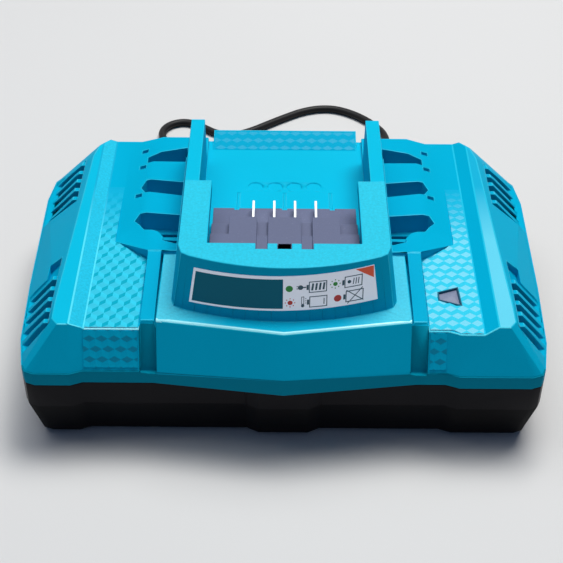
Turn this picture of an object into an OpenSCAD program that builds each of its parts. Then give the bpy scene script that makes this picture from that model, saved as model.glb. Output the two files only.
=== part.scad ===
// Battery charger for slide-on tool packs.
// Millimetres, +Z up. The origin is under the middle of the charger, on the
// surface that it stands on. The front of the charger faces -Y.

/* [Overall size] */
// Greatest width, across the rear shoulders
body_w = 182; // [178:1:200]
// Width across the front corners
front_w = 172; // [168:1:174]
// Depth from the front corners to the back wall
body_d = 122; // [118:1:136]
// How far the pointed nose of the front stands ahead of the corners
nose_d = 4; // [2:0.5:6]
// Height of the joint between the two housings
parting_z = 28; // [27:0.5:34]
// Wall of both housings
wall = 2.4; // [1.8:0.1:2.6]

/* [Upper housing] */
// Height of the upright rim above the joint
rim_h = 5.2; // [4:0.2:7]
// Height of the two side ridges above the joint
ridge_h = 20.6; // [19.6:0.2:24]
// How far the top of a ridge leans in from the rim at the front
lean_d = 7.7; // [6:0.1:9]
// How far the top of a ridge leans in from the rim at the back
back_lean_d = 6.8; // [6:0.1:9]
// Distance from the front corner line to the outer edge of a ridge
ridge_inset = 10.3; // [9:0.1:12]
// Width of the flat top of a ridge
ridge_w = 5.7; // [4:0.1:7]
// How far the flat panels lie below the ridges
panel_drop = 2.4; // [1.5:0.1:3]
// Width of the sloping side of a ridge towards its panel
ridge_slope_w = 4.6; // [2:0.1:5]
// Height of the raised deck round the cradle, above the joint
deck_h = 22.4; // [21.6:0.2:24.4]
// Half width of the level part of the deck
deck_half = 47; // [46:0.5:49]
// Width of the deck's slope down to each panel
deck_slope_w = 12.5; // [8:0.5:14]
// Distance from the front line to the front wall of the deck
deck_front = 43.6; // [40:0.2:46]
// Height of the front bulge above the joint
bulge_h = 21; // [20:0.2:22]
// Half width of the front bulge
bulge_half = 41.7; // [40:0.1:43]
// Depth of the front panel recesses
recess_d = 1.6; // [1:0.1:2.4]
// Depth of the upright grooves beside the bulge
groove_d = 2.6; // [1.5:0.1:3.5]
// Width of the left front panel, up to its chamfer
left_panel_w = 23; // [15:0.5:26]
// Width of the right front panel, up to its chamfer
right_panel_w = 10.6; // [8:0.5:20]

/* [Cradle] */
// Outside width of the two rails at the top
cradle_w = 68.8; // [66:0.2:72]
// Height of the cradle's top above the joint
cradle_h = 41; // [39:0.5:46]
// Distance from the front line to the cradle's top edge, in the middle
cradle_front = 12.4; // [11.6:0.2:14]
// Length of the cradle's top, from its front edge to the rail ends
cradle_len = 85.2; // [80:0.5:92]
// How much wider the foot of the cradle is than its top, on each side
cradle_draft = 2.9; // [1:0.1:3.4]
// Thickness of a rail behind its arm
rail_t = 4.9; // [3.5:0.1:6]
// Clear width between the two arms
arm_gap = 50.4; // [46:0.2:54]
// Thickness of the arms and the front bar
arm_t = 4.2; // [3:0.1:5.5]
// Length of the arms behind the front bar
arm_len = 34.5; // [30:0.5:44]
// Depth of the front bar in the middle
bar_d = 12.6; // [10:0.2:15]
// Height of the cradle floor above the joint
floor_h = 20.5; // [20:0.1:21]
// Rise of the ramp at the back of the cradle floor
ramp_h = 3; // [1.5:0.1:3.4]
// Half width of the ramp
ramp_half = 27.5; // [22:0.5:28.5]

/* [Contacts] */
// Distance between neighbouring contact blades
blade_pitch = 7.2; // [6.4:0.1:8]
// Thickness of a contact blade
blade_t = 0.8; // [0.6:0.1:1]
// Height of a contact blade
blade_h = 4.4; // [3:0.1:5]
// Free length of a contact blade
blade_len = 11.6; // [8:0.1:12.5]

/* [Base housing] */
// Height of the rubber feet below the base
foot_h = 2; // [1.5:0.1:3]
// Radius of a rubber foot
foot_r = 5.5; // [4.5:0.1:6.5]
// Height of the upright band of the base under the joint
band_h = 9.7; // [7:0.1:12]
// How far the foot of the base is drawn in at the sides
base_draft_side = 2.7; // [1:0.1:3.5]
// How far the foot of the base is drawn in at the front
base_draft_front = 4.4; // [1:0.1:5]

/* [Circuit board] */
// Board width
board_w = 130; // [126:1:132]
// Board thickness
board_t = 1.6; // [1:0.1:2]
// Height of the board's posts above the inside of the base
post_h = 6; // [4:0.5:8]

/* [Mains lead] */
// Diameter of the lead
lead_d = 3.4; // [3.2:0.1:4]
// Length of the tapered strain relief outside the wall
relief_len = 24; // [20:1:24]
// Height of the lead's axis where it leaves the base
lead_z = 14; // [13:0.5:15]

/* [Hidden] */
$fn = 48;
eps = 0.01;
seat_gap = 0.15;                      // running clearance of a dropped-in piece
front_y = (nose_d - body_d) / 2;      // line through the two front corners
back_y = front_y + body_d;            // outer face of the back wall
rim_z = parting_z + rim_h;
ridge_z = parting_z + ridge_h;
panel_z = ridge_z - panel_drop;
deck_z = parting_z + deck_h;
bulge_z = parting_z + bulge_h;
floor_z = parting_z + floor_h;
cradle_z = parting_z + cradle_h;
cavity_z = panel_z - wall;            // ceiling inside the upper housing
base_floor_z = foot_h + wall;         // inside floor of the base
board_z = base_floor_z + post_h;
board_top = board_z + board_t;
ridge_x = front_w / 2 - ridge_inset;  // outer edge of a ridge's flat top
ridge_in_x = ridge_x - ridge_w;
panel_x = ridge_in_x - ridge_slope_w; // where the ridge meets its panel
rim_step = 0.25;                      // the rim stands this far proud of the leaning walls
lean_angle = atan((lean_d - rim_step) / (ridge_h - rim_h));
cradle_half = cradle_w / 2;
arm_half = arm_gap / 2;
rail_in = cradle_half - rail_t;
bar_back = cradle_front + bar_d;      // rear edge of the bar, from the front line
rail_back = cradle_front + cradle_len;
teal = [0.0, 0.62, 0.76];
black = [0.07, 0.07, 0.08];
dark_grey = [0.36, 0.35, 0.42];
silver = [0.82, 0.83, 0.85];

// ---------- outlines in plan: x from the middle, y from the front corner line ----------

function flipped(half) = [for (i = [len(half) - 1:-1:0]) [-half[i][0], half[i][1]]];
// Moves a point of a right-hand outline inwards, with a little more at the front where it is asked for
function inset(p, g, f = 0) = [p[0] - g, p[1] < body_d / 2 ? p[1] + g + f : p[1] - g];

// Right flank from the front corner to the back, seen from above
flank = [
    [front_w / 2 - 3.7, 0], [front_w / 2 - 0.7, 1.2], [front_w / 2 + 0.6, 4],
    [(front_w + body_w) / 4 + 0.3, 16.5], [body_w / 2 - 0.9, 45], [body_w / 2, body_d - 27],
    [body_w / 2 - 1.6, body_d - 15], [body_w / 2 - 9, body_d - 4.5], [body_w / 2 - 19, body_d]
];
// Top edge of the same flank, along the outside of a ridge
ridge_flank = [
    [ridge_x - 2.1, lean_d], [ridge_x, lean_d + 2.8], [ridge_x, lean_d + 11.3],
    [ridge_x - 2.4, body_d - 47], [ridge_x - 2.7, body_d - 19], [ridge_x - 4.4, body_d - 11.8],
    [ridge_x - 8.6, body_d - back_lean_d]
];
chamfer_w = 4.2;                      // plan width of the chamfer beside a corner block
groove_w = 5.6;                       // width of the upright groove beside the bulge
panel_in = bulge_half + groove_w;     // inner edge of the front panels
left_edge = panel_in + left_panel_w - chamfer_w;
right_edge = panel_in + right_panel_w - chamfer_w;
bulge_foot = bulge_half + 2.3;        // half width of the bulge at the joint

function full_outline(half, g, f = 0) = let (h = [for (p = half) inset(p, g, f)]) concat(h, flipped(h));
// Outline of the upper housing at the joint, with the nose and the two panel recesses
joint_outline = concat(
    [[0, -nose_d], [bulge_foot, recess_d], [right_edge, recess_d], [right_edge + chamfer_w, 0]],
    flank, flipped(flank),
    [[-left_edge - chamfer_w, 0], [-left_edge, recess_d], [-bulge_foot, recess_d]]);
// Middle facet of the base's front, below the nose
facet_half = 8.5;
facet_d = 0.6;
facet_slope_w = 4.2;
facet = [[-facet_half - facet_slope_w, recess_d], [-facet_half, -facet_d], [facet_half, -facet_d],
         [facet_half + facet_slope_w, recess_d]];
base_outline = concat(facet, [[right_edge, recess_d], [right_edge + chamfer_w, 0]], flank, flipped(flank),
    [[-left_edge - chamfer_w, 0], [-left_edge, recess_d]]);

module at_front() { translate([0, front_y, 0]) children(); }
module slab(points, z, h = eps) { translate([0, 0, z]) linear_extrude(h) polygon(points); }
module along_x(x0, x1) {
    translate([x0, 0, 0]) rotate([90, 0, 90]) linear_extrude(x1 - x0) children();
}
module along_y(y0, y1) {
    translate([0, y1, 0]) rotate([90, 0, 0]) linear_extrude(y1 - y0) children();
}
module both_sides() { children(); mirror([1, 0, 0]) children(); }
module post(x, y, z, h, r) { translate([x, y, z]) cylinder(r = r, h = h); }
module box(x0, x1, y0, y1, z0, z1) { translate([x0, y0, z0]) cube([x1 - x0, y1 - y0, z1 - z0]); }

// ---------- shared positions ----------

screw_spots = [for (x = [-1, 1], y = [15, body_d - 14]) [x * (front_w / 2 - 14), y]];
foot_spots = [for (x = [-1, 1], y = [16, body_d - 16]) [x * (front_w / 2 - 28), y]];
board_y0 = 19;                        // front edge of the board, from the front line
clamp_y = body_d - 14;                // middle of the cord clamp, from the front line
clamp_half_d = 3;
board_y1 = clamp_y - clamp_half_d - 2; // rear edge of the board, just ahead of the clamp
board_d = board_y1 - board_y0;
board_spots = [for (x = [-1, 1], y = [5, board_d - 5]) [x * (board_w / 2 - 5), board_y0 + y]];
blade_x = [for (i = [0:3]) (i - 1.5) * blade_pitch];
block_y0 = bar_back + seat_gap;       // front face of the terminal block
block_len = 35.6;
block_y1 = block_y0 + block_len;
block_half = arm_half - seat_gap;
shelf_len = 12.7;                     // low shelf under the blades
shelf_z = floor_z + 7.5;
block_z = floor_z + 13.5;
lead_x = -45;                         // where the mains lead leaves the back wall
boss_r = 3.6;
pilot_r = 1.35;
screw_r = 1.3;
window_x = 55.5;                      // middle of the LED window
window_y = 24.8;
window = [[-3.4, -1.6], [3.4, -4.1], [2.9, 4.3], [-3.4, 1.9]];

// ---------- upper housing ----------

module flank_loft(g, top, f = 0) {
    hull() {
        slab(full_outline(flank, g + rim_step, f), rim_z - eps);
        slab(full_outline(ridge_flank, g, f), top - eps);
    }
}

// What is cut away between the ridges, seen from the front
module valley_cut() {
    along_y(-1, body_d + 1) polygon([
        [-ridge_in_x, ridge_z], [-panel_x, panel_z], [panel_x, panel_z], [ridge_in_x, ridge_z],
        [ridge_in_x, ridge_z + 10], [-ridge_in_x, ridge_z + 10]]);
}

// Leaning prism over the front face, for the panels and the grooves
module face_cut(points, below = 0) {
    translate([0, rim_step, rim_z]) rotate([-lean_angle, 0, 0])
        translate([0, 0, -below]) linear_extrude(ridge_h + 8 + below) polygon(points);
}
function groove_outline(g) = [
    [bulge_half - g, -9], [panel_in + g, -9], [panel_in + g, (recess_d + groove_d) * cos(lean_angle) + g],
    [bulge_half - g, (recess_d + groove_d) * cos(lean_angle) + g]];

bulge_side_back = 2;                  // how far the bulge's top corners lie behind the lean line
module panel_recesses() {
    depth = recess_d * cos(lean_angle);
    behind_bulge = depth + bulge_side_back;
    reach = bulge_half + groove_w / 4;
    // each chamfer runs on past the face, so that the cut ends cleanly
    out = -depth;
    face_cut([[-left_edge - 2 * chamfer_w, out], [-left_edge, depth], [-bulge_half, depth],
              [-bulge_half, -9], [-left_edge - 2 * chamfer_w, -9]], 2);
    face_cut([[right_edge + 2 * chamfer_w, out], [right_edge, depth], [bulge_half, depth],
              [bulge_half, -9], [right_edge + 2 * chamfer_w, -9]], 2);
    // deeper in the middle, where the bulge's own faces take over
    face_cut([[-reach, -9], [reach, -9], [reach, behind_bulge], [-reach, behind_bulge]], 2);
}

// Pointed front bulge with its two leaning faces
module bulge() {
    nose_rim = rim_h + 1.8;
    side_y = lean_d + bulge_side_back;
    nose_y = lean_d - nose_d - 0.3;
    back = bar_back + 4;
    polyhedron(points = [
        [-bulge_foot, recess_d, parting_z], [0, -nose_d, parting_z], [bulge_foot, recess_d, parting_z],
        [bulge_foot, back, parting_z], [-bulge_foot, back, parting_z],
        [-bulge_foot, recess_d, rim_z], [0, -nose_d, parting_z + nose_rim],
        [bulge_foot, recess_d, rim_z], [bulge_foot, back, rim_z], [-bulge_foot, back, rim_z],
        [-bulge_half, side_y, bulge_z], [0, nose_y, bulge_z], [bulge_half, side_y, bulge_z],
        [bulge_half, back, bulge_z], [-bulge_half, back, bulge_z]
    ], faces = [
        [0, 1, 2, 3, 4], [5, 6, 1, 0], [6, 7, 2, 1], [7, 8, 3, 2], [8, 9, 4, 3], [9, 5, 0, 4],
        [10, 6, 5], [10, 11, 6], [11, 7, 6], [11, 12, 7], [12, 13, 8, 7], [13, 14, 9, 8], [14, 10, 5, 9],
        [14, 13, 12, 11, 10]]);
}

deck_ramp_gap = 0.3;                  // ledge beside the ramps to the front grooves
// Raised deck: level in the middle, sloping down to the panels, with stepped front walls
module deck() {
    outer = deck_half + deck_slope_w;
    shoulder = deck_front + 9.8;
    back_foot = back_lean_d + 0.9;
    back_top = body_d - back_foot * (deck_z - rim_z) / (ridge_z - rim_z);
    intersection() {
        along_y(0, body_d) polygon([
            [-outer, panel_z - 1], [-outer, panel_z], [-deck_half, deck_z], [deck_half, deck_z],
            [outer, panel_z], [outer, panel_z - 1]]);
        slab([[-outer, shoulder], [-deck_half, deck_front], [deck_half, deck_front],
              [outer, shoulder], [outer, body_d], [-outer, body_d]], panel_z - 2, 20);
        along_x(-outer, outer) polygon([
            [0, panel_z - 2], [body_d - back_foot, panel_z - 2], [back_top, deck_z], [0, deck_z]]);
    }
    // level top between the bulge and the deck's front wall
    box(-bulge_half, bulge_half, bar_back, deck_front + 1, panel_z - 1, bulge_z);
    // ramps that run from the deck down to the front grooves
    both_sides() along_x(bulge_half + 0.8, panel_in - deck_ramp_gap) polygon([
        [lean_d + 1.4, panel_z - 1], [lean_d + 1.4, panel_z + 0.9], [deck_front + 0.5, deck_z],
        [deck_front + 0.5, panel_z - 1]]);
}

cradle_sag = 6;                       // how far the cradle's front curves back to its corners
corner_run = 4.8;
function cradle_outline(half, y0, y1) = let (
    xc = half - 3.6,
    front = [for (i = [0:8]) let (t = i / 8) [xc * t, y0 + cradle_sag * t * t]],
    side = concat(front, [[half - 1.1, y0 + cradle_sag + 1.6], [half, y0 + cradle_sag + corner_run],
                          [half, y1]])
) concat(side, [for (i = [len(side) - 1:-1:1]) [-side[i][0], side[i][1]]]);

cradle_lean = 3.3;                    // lean of the cradle's front over its height
module cradle_loft(g, z0, z1) {
    k = (cradle_z - z0) / (cradle_z - bulge_z);
    hull() {
        slab(cradle_outline(cradle_half - g + cradle_draft * k, cradle_front + g - cradle_lean * k,
                            rail_back + 2 * k), z0);
        slab(cradle_outline(cradle_half - g, cradle_front + g, rail_back), z1 - eps);
    }
}

// Space that the battery pack slides into, under and between the arms
module pack_space() {
    arm_back = bar_back + arm_len;
    box(-rail_in, rail_in, bar_back, body_d, floor_z, cradle_z - arm_t);
    box(-arm_half, arm_half, bar_back, body_d, floor_z, cradle_z + 1);
    box(-rail_in, rail_in, arm_back, body_d, floor_z, cradle_z + 1);
}

// Notches and slot in the front bar, where the terminal block hooks in
hook_x = 7.5;
hook_w = 3.8;
hook_d = 2.8;
hook_h = 3;
notch_z = block_z - hook_h - 1;
slot_half = 2.3;
module bar_notches() {
    both_sides() box(hook_x - hook_w / 2, hook_x + hook_w / 2, bar_back - hook_d, bar_back + 1,
                     notch_z, cradle_z + 1);
    box(-slot_half, slot_half, bar_back - hook_d, bar_back + 1, floor_z + 3, cradle_z + 1);
}

// Air inlets beside the cradle, seen from above: x from the rail, y from the front line
slat_w = 12.6;
slat_gap = 7.8;
front_inlet = 17.5;
inlet_in = cradle_half + cradle_draft - 0.1;
inlet_out = deck_half + 5.2;
inlet_depth = 8.5;
inlet_back = body_d - 15.6;
inlet_3 = inlet_back - slat_gap;
inlet_2 = inlet_3 - slat_w - slat_gap;
inlet_1 = inlet_2 - slat_w - front_inlet;
slot_w = 1.6;                         // width of an air slot in the floor of an inlet
well_t = 1.6;                         // wall of the well under each inlet
inlet_floor_z = deck_z - inlet_depth;
pocket_w = 2.4;                       // small square pockets outside the slats
module inlets() {
    z = inlet_floor_z;
    h = inlet_depth + 5;
    // wide front inlet with its stepped outer edge
    slab([[inlet_in, inlet_1 - 0.6], [bulge_half + 0.8, inlet_1 + 1.4], [bulge_half + 0.8, inlet_1 + 3.4],
          [bulge_half + 2.9, inlet_1 + 6.4], [deck_half + 2.6, inlet_1 + 8.4],
          [inlet_out - 0.7, inlet_1 + 11.9], [inlet_out + 1.4, inlet_1 + 14.9],
          [inlet_out - 0.2, inlet_1 + front_inlet + 1], [inlet_in, inlet_1 + front_inlet - 0.6]], z, h);
    slab([[inlet_in, inlet_2 - 1.4], [inlet_out - 1, inlet_2 + 1.1], [inlet_out + 0.8, inlet_2 + 4.6],
          [inlet_out - 0.9, inlet_3 - slat_w + 0.8], [inlet_in, inlet_3 - slat_w - 1]], z, h);
    slab([[inlet_in, inlet_3 - 0.4], [inlet_out - 0.2, inlet_3 - 0.2], [inlet_out - 0.2, inlet_3 + 3.2],
          [inlet_in, inlet_back - 0.2]], z, h);
    // the slats lie a little below the deck
    box(inlet_in, inlet_out, inlet_1 + front_inlet - 1, inlet_3 + 1, deck_z - slat_drop, deck_z + 5);
    for (y = [inlet_2 - 1, inlet_3 - 3.4, inlet_back - 0.8])
        box(inlet_out + 0.2, inlet_out + 0.2 + pocket_w, y, y + 2, deck_z - 4.4, deck_z + 5);
    for (y = [inlet_1 + 6.6, inlet_1 + 10.2, inlet_1 + 13.6, inlet_2 + 0.4, inlet_2 + 4.2, inlet_3 + 1.4])
        box(inlet_in + 1.5, deck_half, y, y + slot_w, z - well_t - 1, z + 1);
}
slat_drop = 0.9;
// Walls and floor of the wells that the inlets end in, inside the housing
module inlet_wells() {
    for (y = [[inlet_1 - 0.6, inlet_1 + front_inlet + 1], [inlet_2 - 1.4, inlet_2 + slat_gap + 0.8],
              [inlet_3 - 0.4, inlet_back - 0.2]])
        box(inlet_in - well_t, inlet_out + 1.4 + well_t, y[0] - well_t, y[1] + well_t,
            inlet_floor_z - well_t, deck_z);
}

// Side vents: slots down each flank between ribs whose tops are cut level
vent_pitch = 5.5;
vent_slot = 3.4;
vent_z = ridge_z - 4.6;
vent_count = 5;
vent_front = 9.8;                     // front end of the front group, from the front line
vent_rear = body_d - 44.5;            // front end of the rear group
module flank_vents(x0, y0) {
    low = rim_z + 0.4;
    out = body_w / 2 + 9;
    along_y(y0, y0 + vent_count * vent_pitch) polygon([
        [x0, vent_z], [x0 + 2.2, vent_z], [body_w / 2 - 2.6, low], [out, low], [out, ridge_z + 4],
        [x0, ridge_z + 4]]);
    for (i = [0:vent_count - 1])
        box(x0, out, y0 + i * vent_pitch, y0 + i * vent_pitch + vent_slot, low, ridge_z + 4);
}
// Sunk field behind the front group of vents
module vent_field(x0, y0) {
    along_y(y0, y0 + 7) polygon([
        [x0, vent_z], [x0 + 4.4, vent_z - 4.6], [x0 + 4.9, ridge_z + 4], [x0, ridge_z + 4]]);
}
vent_x = ridge_x + 1.5;

module top_housing() {
    color(teal) at_front() difference() {
        union() {
            slab(joint_outline, parting_z, rim_h);
            difference() {
                flank_loft(0, ridge_z);
                valley_cut();
                panel_recesses();
            }
            deck();
            bulge();
            cradle_loft(0, bulge_z - 1, cradle_z);
            ramp();
        }
        // upright grooves in the front face beside the bulge
        both_sides() face_cut(groove_outline(0));
        pack_channel();
        bar_notches();
        both_sides() inlets();
        both_sides() {
            flank_vents(vent_x, vent_front);
            vent_field(vent_x, vent_front + vent_count * vent_pitch);
            flank_vents(vent_x - 0.8, vent_rear);
        }
        housing_cavity();
        // dished marks in the cradle floor, in line with the contacts
        for (x = blade_x) post(x, floor_dish_y, floor_z - 0.5, 2, 2.8);
        slab(window_outline(1), cavity_z - 1, 20);
        // slot under the terminal block for the contact leads
        box(-lead_slot_half, lead_slot_half, lead_hole_y - 3, lead_hole_y + 3, cavity_z - 1, floor_z + 1);
        for (x = [-1, 1]) post(x * block_screw_x, block_screw_y, cavity_z - 1, 10, screw_r + 0.2);
        for (p = screw_spots) post(p[0], p[1], parting_z - 1, 14, pilot_r);
    }
}

floor_dish_y = 84;
floor_ribs = [-16.8, 0, 16.8];
rib_w = 1;
rib_h = 0.3;
rib_len = 19;
lead_slot_half = 14;
// Ramp behind the cradle floor, where a pack is guided in
module ramp() {
    y0 = body_d - 14.5;
    along_x(-ramp_half, ramp_half) polygon([
        [y0, rim_z + 1], [y0, floor_z], [body_d - 5.5, floor_z + ramp_h],
        [body_d - 4.8, floor_z + ramp_h - 0.3], [body_d - 1.2, rim_z + 1]]);
}
// The pack space, with the ramp at its back left standing
module pack_channel() {
    difference() {
        pack_space();
        ramp();
        // low ribs on the floor behind the terminal block
        for (x = floor_ribs)
            box(x - rib_w / 2, x + rib_w / 2, block_y1 - 0.5, block_y1 + rib_len,
                floor_z - 1, floor_z + rib_h);
    }
}

// Inside of the upper housing, with the screw posts left standing
module housing_cavity() {
    difference() {
        union() {
            flank_loft(wall, cavity_z, recess_d);
            slab(full_outline(flank, wall, recess_d), parting_z - 1, rim_h + 1);
            // under the cradle floor and the bulge
            box(-rail_in, rail_in, bar_back + 4, body_d - 16, parting_z, floor_z - wall);
            box(-bulge_half + 3, bulge_half - 3, lean_d + 4, bar_back + 5, parting_z, bulge_z - wall);
            // inside the front bar
            intersection() {
                cradle_loft(wall, bulge_z - wall - 1, cradle_z - wall);
                box(-cradle_half, cradle_half, 0, bar_back - hook_d - wall,
                    bulge_z - wall - 1, cradle_z - wall);
            }
        }
        both_sides() face_cut(groove_outline(wall), 2);
        for (p = screw_spots) post(p[0], p[1], parting_z, 30, boss_r);
        both_sides() inlet_wells();
    }
}

// ---------- base housing ----------

base_low = foot_h;
band_z = parting_z - band_h;
function foot_outline(g, f = 0) = [for (p = full_outline(flank, g, f))
    [p[0] > 0 ? p[0] - base_draft_side : p[0] + base_draft_side,
     p[1] < body_d / 2 ? p[1] + base_draft_front * (1 - p[1] / body_d) : p[1]]];
vent_slots = [for (x = [-3:3], y = [0, 1]) [x * 12, y]];
clamp_post_x = 8;
clamp_z = lead_z - lead_d / 2;

base_angle = atan(base_draft_front / (band_z - base_low - 2 * eps));
module base_taper(g, z0, f = 0) {
    hull() {
        slab(foot_outline(g, f), z0);
        slab(full_outline(flank, g, f), band_z - eps);
    }
}
// The lower front of the base, with the same steps as the band above it
module base_recesses() {
    depth = recess_d * cos(base_angle);
    intersection() {
        translate([0, 0, band_z - eps]) rotate([base_angle, 0, 0]) translate([0, 0, -40]) linear_extrude(41)
            polygon([[-left_edge - 2 * chamfer_w, -depth], [-left_edge, depth], [right_edge, depth],
                     [right_edge + 2 * chamfer_w, -depth], [right_edge + 2 * chamfer_w, -9],
                     [-left_edge - 2 * chamfer_w, -9]]);
        box(-body_w, body_w, -20, body_d / 2, 0, band_z);
    }
}
module base_facet() {
    // the facet's slopes run on under the recessed face
    w = facet_half + 1.5 * facet_slope_w;
    y = recess_d + 0.5 * (recess_d + facet_d);
    hull() for (d = [0, base_draft_front])
        slab([[-w, y + d], [-facet_half, d - facet_d], [facet_half, d - facet_d], [w, y + d],
              [w, 12], [-w, 12]], d > 0 ? base_low : band_z - eps);
}

module base_housing() {
    color(black) at_front() difference() {
        union() {
            difference() {
                union() {
                    slab(base_outline, band_z - eps, band_h + eps);
                    difference() {
                        base_taper(0, base_low);
                        base_recesses();
                    }
                    base_facet();
                }
                base_taper(wall, base_floor_z, recess_d);
                slab(full_outline(flank, wall, recess_d), band_z - eps, band_h + 1);
            }
            // tubes that the housing screws pass up through
            for (p = screw_spots) post(p[0], p[1], base_low, parting_z - base_low, boss_r + 0.6);
            for (p = board_spots) post(p[0], p[1], base_low, board_z - base_low, 3.2);
            for (p = foot_spots) post(p[0], p[1], base_low, wall + 1.2, foot_r + 1.5);
            for (x = [-1, 1]) post(lead_x + x * clamp_post_x, clamp_y, base_low, clamp_z - base_low, 3);
            // cradle under the lead
            box(lead_x - 3, lead_x + 3, clamp_y - clamp_half_d, clamp_y + clamp_half_d, base_low, clamp_z);
            // pad that holds the strain relief
            box(lead_x - 8, lead_x + 8, body_d - wall - 1.4, body_d, base_floor_z - 1, parting_z - 1.5);
        }
        for (p = screw_spots) {
            post(p[0], p[1], base_low - 1, 60, screw_r + 0.4);
            post(p[0], p[1], base_low - 1, 7, 3.5);
        }
        for (p = board_spots) post(p[0], p[1], base_floor_z, 60, pilot_r);
        for (p = foot_spots) post(p[0], p[1], base_low - 1, 2, foot_r + 0.1);
        for (x = [-1, 1]) post(lead_x + x * clamp_post_x, clamp_y, base_floor_z, 30, pilot_r);
        // bottom air slots
        for (s = vent_slots)
            translate([s[0], 34 + s[1] * (body_d - 68), 0])
                box(-1.2, 1.2, -9, 9, base_low - 1, base_floor_z + 1);
        // shallow bare field for a rating plate
        box(-38, 38, body_d / 2 - 12, body_d / 2 + 12, base_low - 1, base_low + 0.4);
        // hole for the strain relief
        translate([lead_x, body_d + 1, lead_z]) rotate([90, 0, 0]) cylinder(r = relief_neck_r + 0.1, h = 10);
    }
}

module rubber_feet() {
    color([0.1, 0.1, 0.1]) at_front()
        for (p = foot_spots) post(p[0], p[1], 0, base_low + 1 - eps, foot_r);
}

screw_seat_z = base_low + 6;
module self_tapper(x, y, z_head, down, head_r, head_h, shank) {
    translate([x, y, z_head]) mirror([0, 0, down ? 0 : 1]) difference() {
        union() {
            cylinder(r = head_r, h = head_h);
            translate([0, 0, -shank]) cylinder(r = screw_r, h = shank);
            translate([0, 0, -shank - 1.4]) cylinder(r1 = 0.3, r2 = screw_r, h = 1.4);
        }
        for (a = [0, 90]) rotate([0, 0, a]) translate([-head_r * 0.55, -0.35, head_h - 0.9])
            cube([head_r * 1.1, 0.7, 2]);
    }
}
module housing_screws() {
    color(silver) at_front() for (p = screw_spots)
        self_tapper(p[0], p[1], screw_seat_z, false, 3.1, 2, parting_z + 9 - screw_seat_z);
}

// ---------- terminal block and contacts ----------

block_screw_x = 18;
block_screw_y = block_y0 + 6;
module terminal_block() {
    raised_y1 = block_y1 - shelf_len;
    corner_w = 6.2;
    cross_slot_y = block_y0 + 13.2;
    color(dark_grey) at_front() difference() {
        union() {
            box(-block_half, block_half, block_y0, block_y1, floor_z, shelf_z);
            box(-block_half, block_half, block_y0, raised_y1, floor_z, block_z);
            // hooks that reach into the notches of the front bar
            both_sides() box(hook_x - hook_w / 2 + seat_gap, hook_x + hook_w / 2 - seat_gap,
                             block_y0 - hook_d + 0.4, block_y0 + 1, block_z - hook_h, block_z);
        }
        // corner pockets
        both_sides() box(block_half - corner_w, block_half + 1, raised_y1 - 9.4, raised_y1 + 1,
                         shelf_z + 3, block_z + 1);
        // channels over the hooks, deeper behind a cross slot
        both_sides() {
            box(hook_x - hook_w / 2, hook_x + hook_w / 2, block_y0 - hook_d, cross_slot_y + 1,
                block_z - 0.5, block_z + 1);
            box(hook_x - hook_w / 2, hook_x + hook_w / 2, cross_slot_y, raised_y1 + 1,
                block_z - 2.2, block_z + 1);
            box(hook_x - hook_w / 2, hook_x + hook_w / 2, cross_slot_y, cross_slot_y + 1.5,
                block_z - 4, block_z + 1);
        }
        // notches in the shelf's rear edge, over the ribs of the cradle floor
        for (x = floor_ribs)
            box(x - rib_w / 2 - 0.4, x + rib_w / 2 + 0.4, block_y1 - 0.8, block_y1 + 1,
                floor_z - 1, shelf_z + 1);
        // slits that the blades stand in
        for (x = blade_x) {
            box(x - blade_t / 2, x + blade_t / 2, raised_y1 - 8, raised_y1 + 1,
                blade_z, blade_z + blade_h);
            post(x, lead_hole_y, floor_z - 1, blade_z - floor_z + 2, contact_tail_r);
        }
        for (x = [-1, 1]) post(x * block_screw_x, block_screw_y, floor_z - 1, 7, pilot_r);
    }
}

blade_z = shelf_z + 0.6;
lead_hole_y = block_y1 - shelf_len - 5;
contact_tail_r = 1.1;
module contact(i) {
    raised_y1 = block_y1 - shelf_len;
    x = blade_x[i];
    color(silver) at_front() {
        box(x - blade_t / 2, x + blade_t / 2, raised_y1 - 8, raised_y1 + blade_len - 1,
            blade_z, blade_z + blade_h);
        // bevelled tip that finds its way into the pack's socket
        translate([x - blade_t / 2, 0, 0]) along_x(0, blade_t) polygon([
            [raised_y1 + blade_len - 1, blade_z], [raised_y1 + blade_len - 1, blade_z + blade_h],
            [raised_y1 + blade_len, blade_z + blade_h - 1], [raised_y1 + blade_len, blade_z + 1]]);
    }
}
module contact_positive() { contact(0); }
module contact_sense() { contact(1); }
module contact_signal() { contact(2); }
module contact_negative() { contact(3); }

module terminal_block_screws() {
    color(silver) at_front() for (x = [-1, 1])
        self_tapper(x * block_screw_x, block_screw_y, floor_z - wall, false, 2.9, 1.8, wall + 4.6);
}

// Insulated leads that run straight down from the blades to the board
module contact_leads() {
    lead_colours = ["red", "yellow", "white", "black"];
    at_front() for (i = [0:3]) color(lead_colours[i])
        post(blade_x[i], lead_hole_y, board_top, blade_z - board_top, contact_tail_r - 0.05);
}

// ---------- label, window and indicator lights ----------

label_t = 0.25;
label_z0 = bulge_z + 2.6;
label_z1 = cradle_z - 2.4;
// Printed label that follows the curved front of the cradle
module status_label() {
    half_low = 30.8;
    half_high = 29.2;
    color([0.75, 0.77, 0.78]) at_front() intersection() {
        difference() {
            cradle_loft(-label_t, bulge_z - 1, cradle_z);
            cradle_loft(0, bulge_z - 1, cradle_z);
        }
        along_y(0, cradle_front + cradle_sag + 3) polygon([
            [-half_low, label_z0], [half_low, label_z0], [half_high, label_z1], [-half_high, label_z1]]);
    }
}

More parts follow.
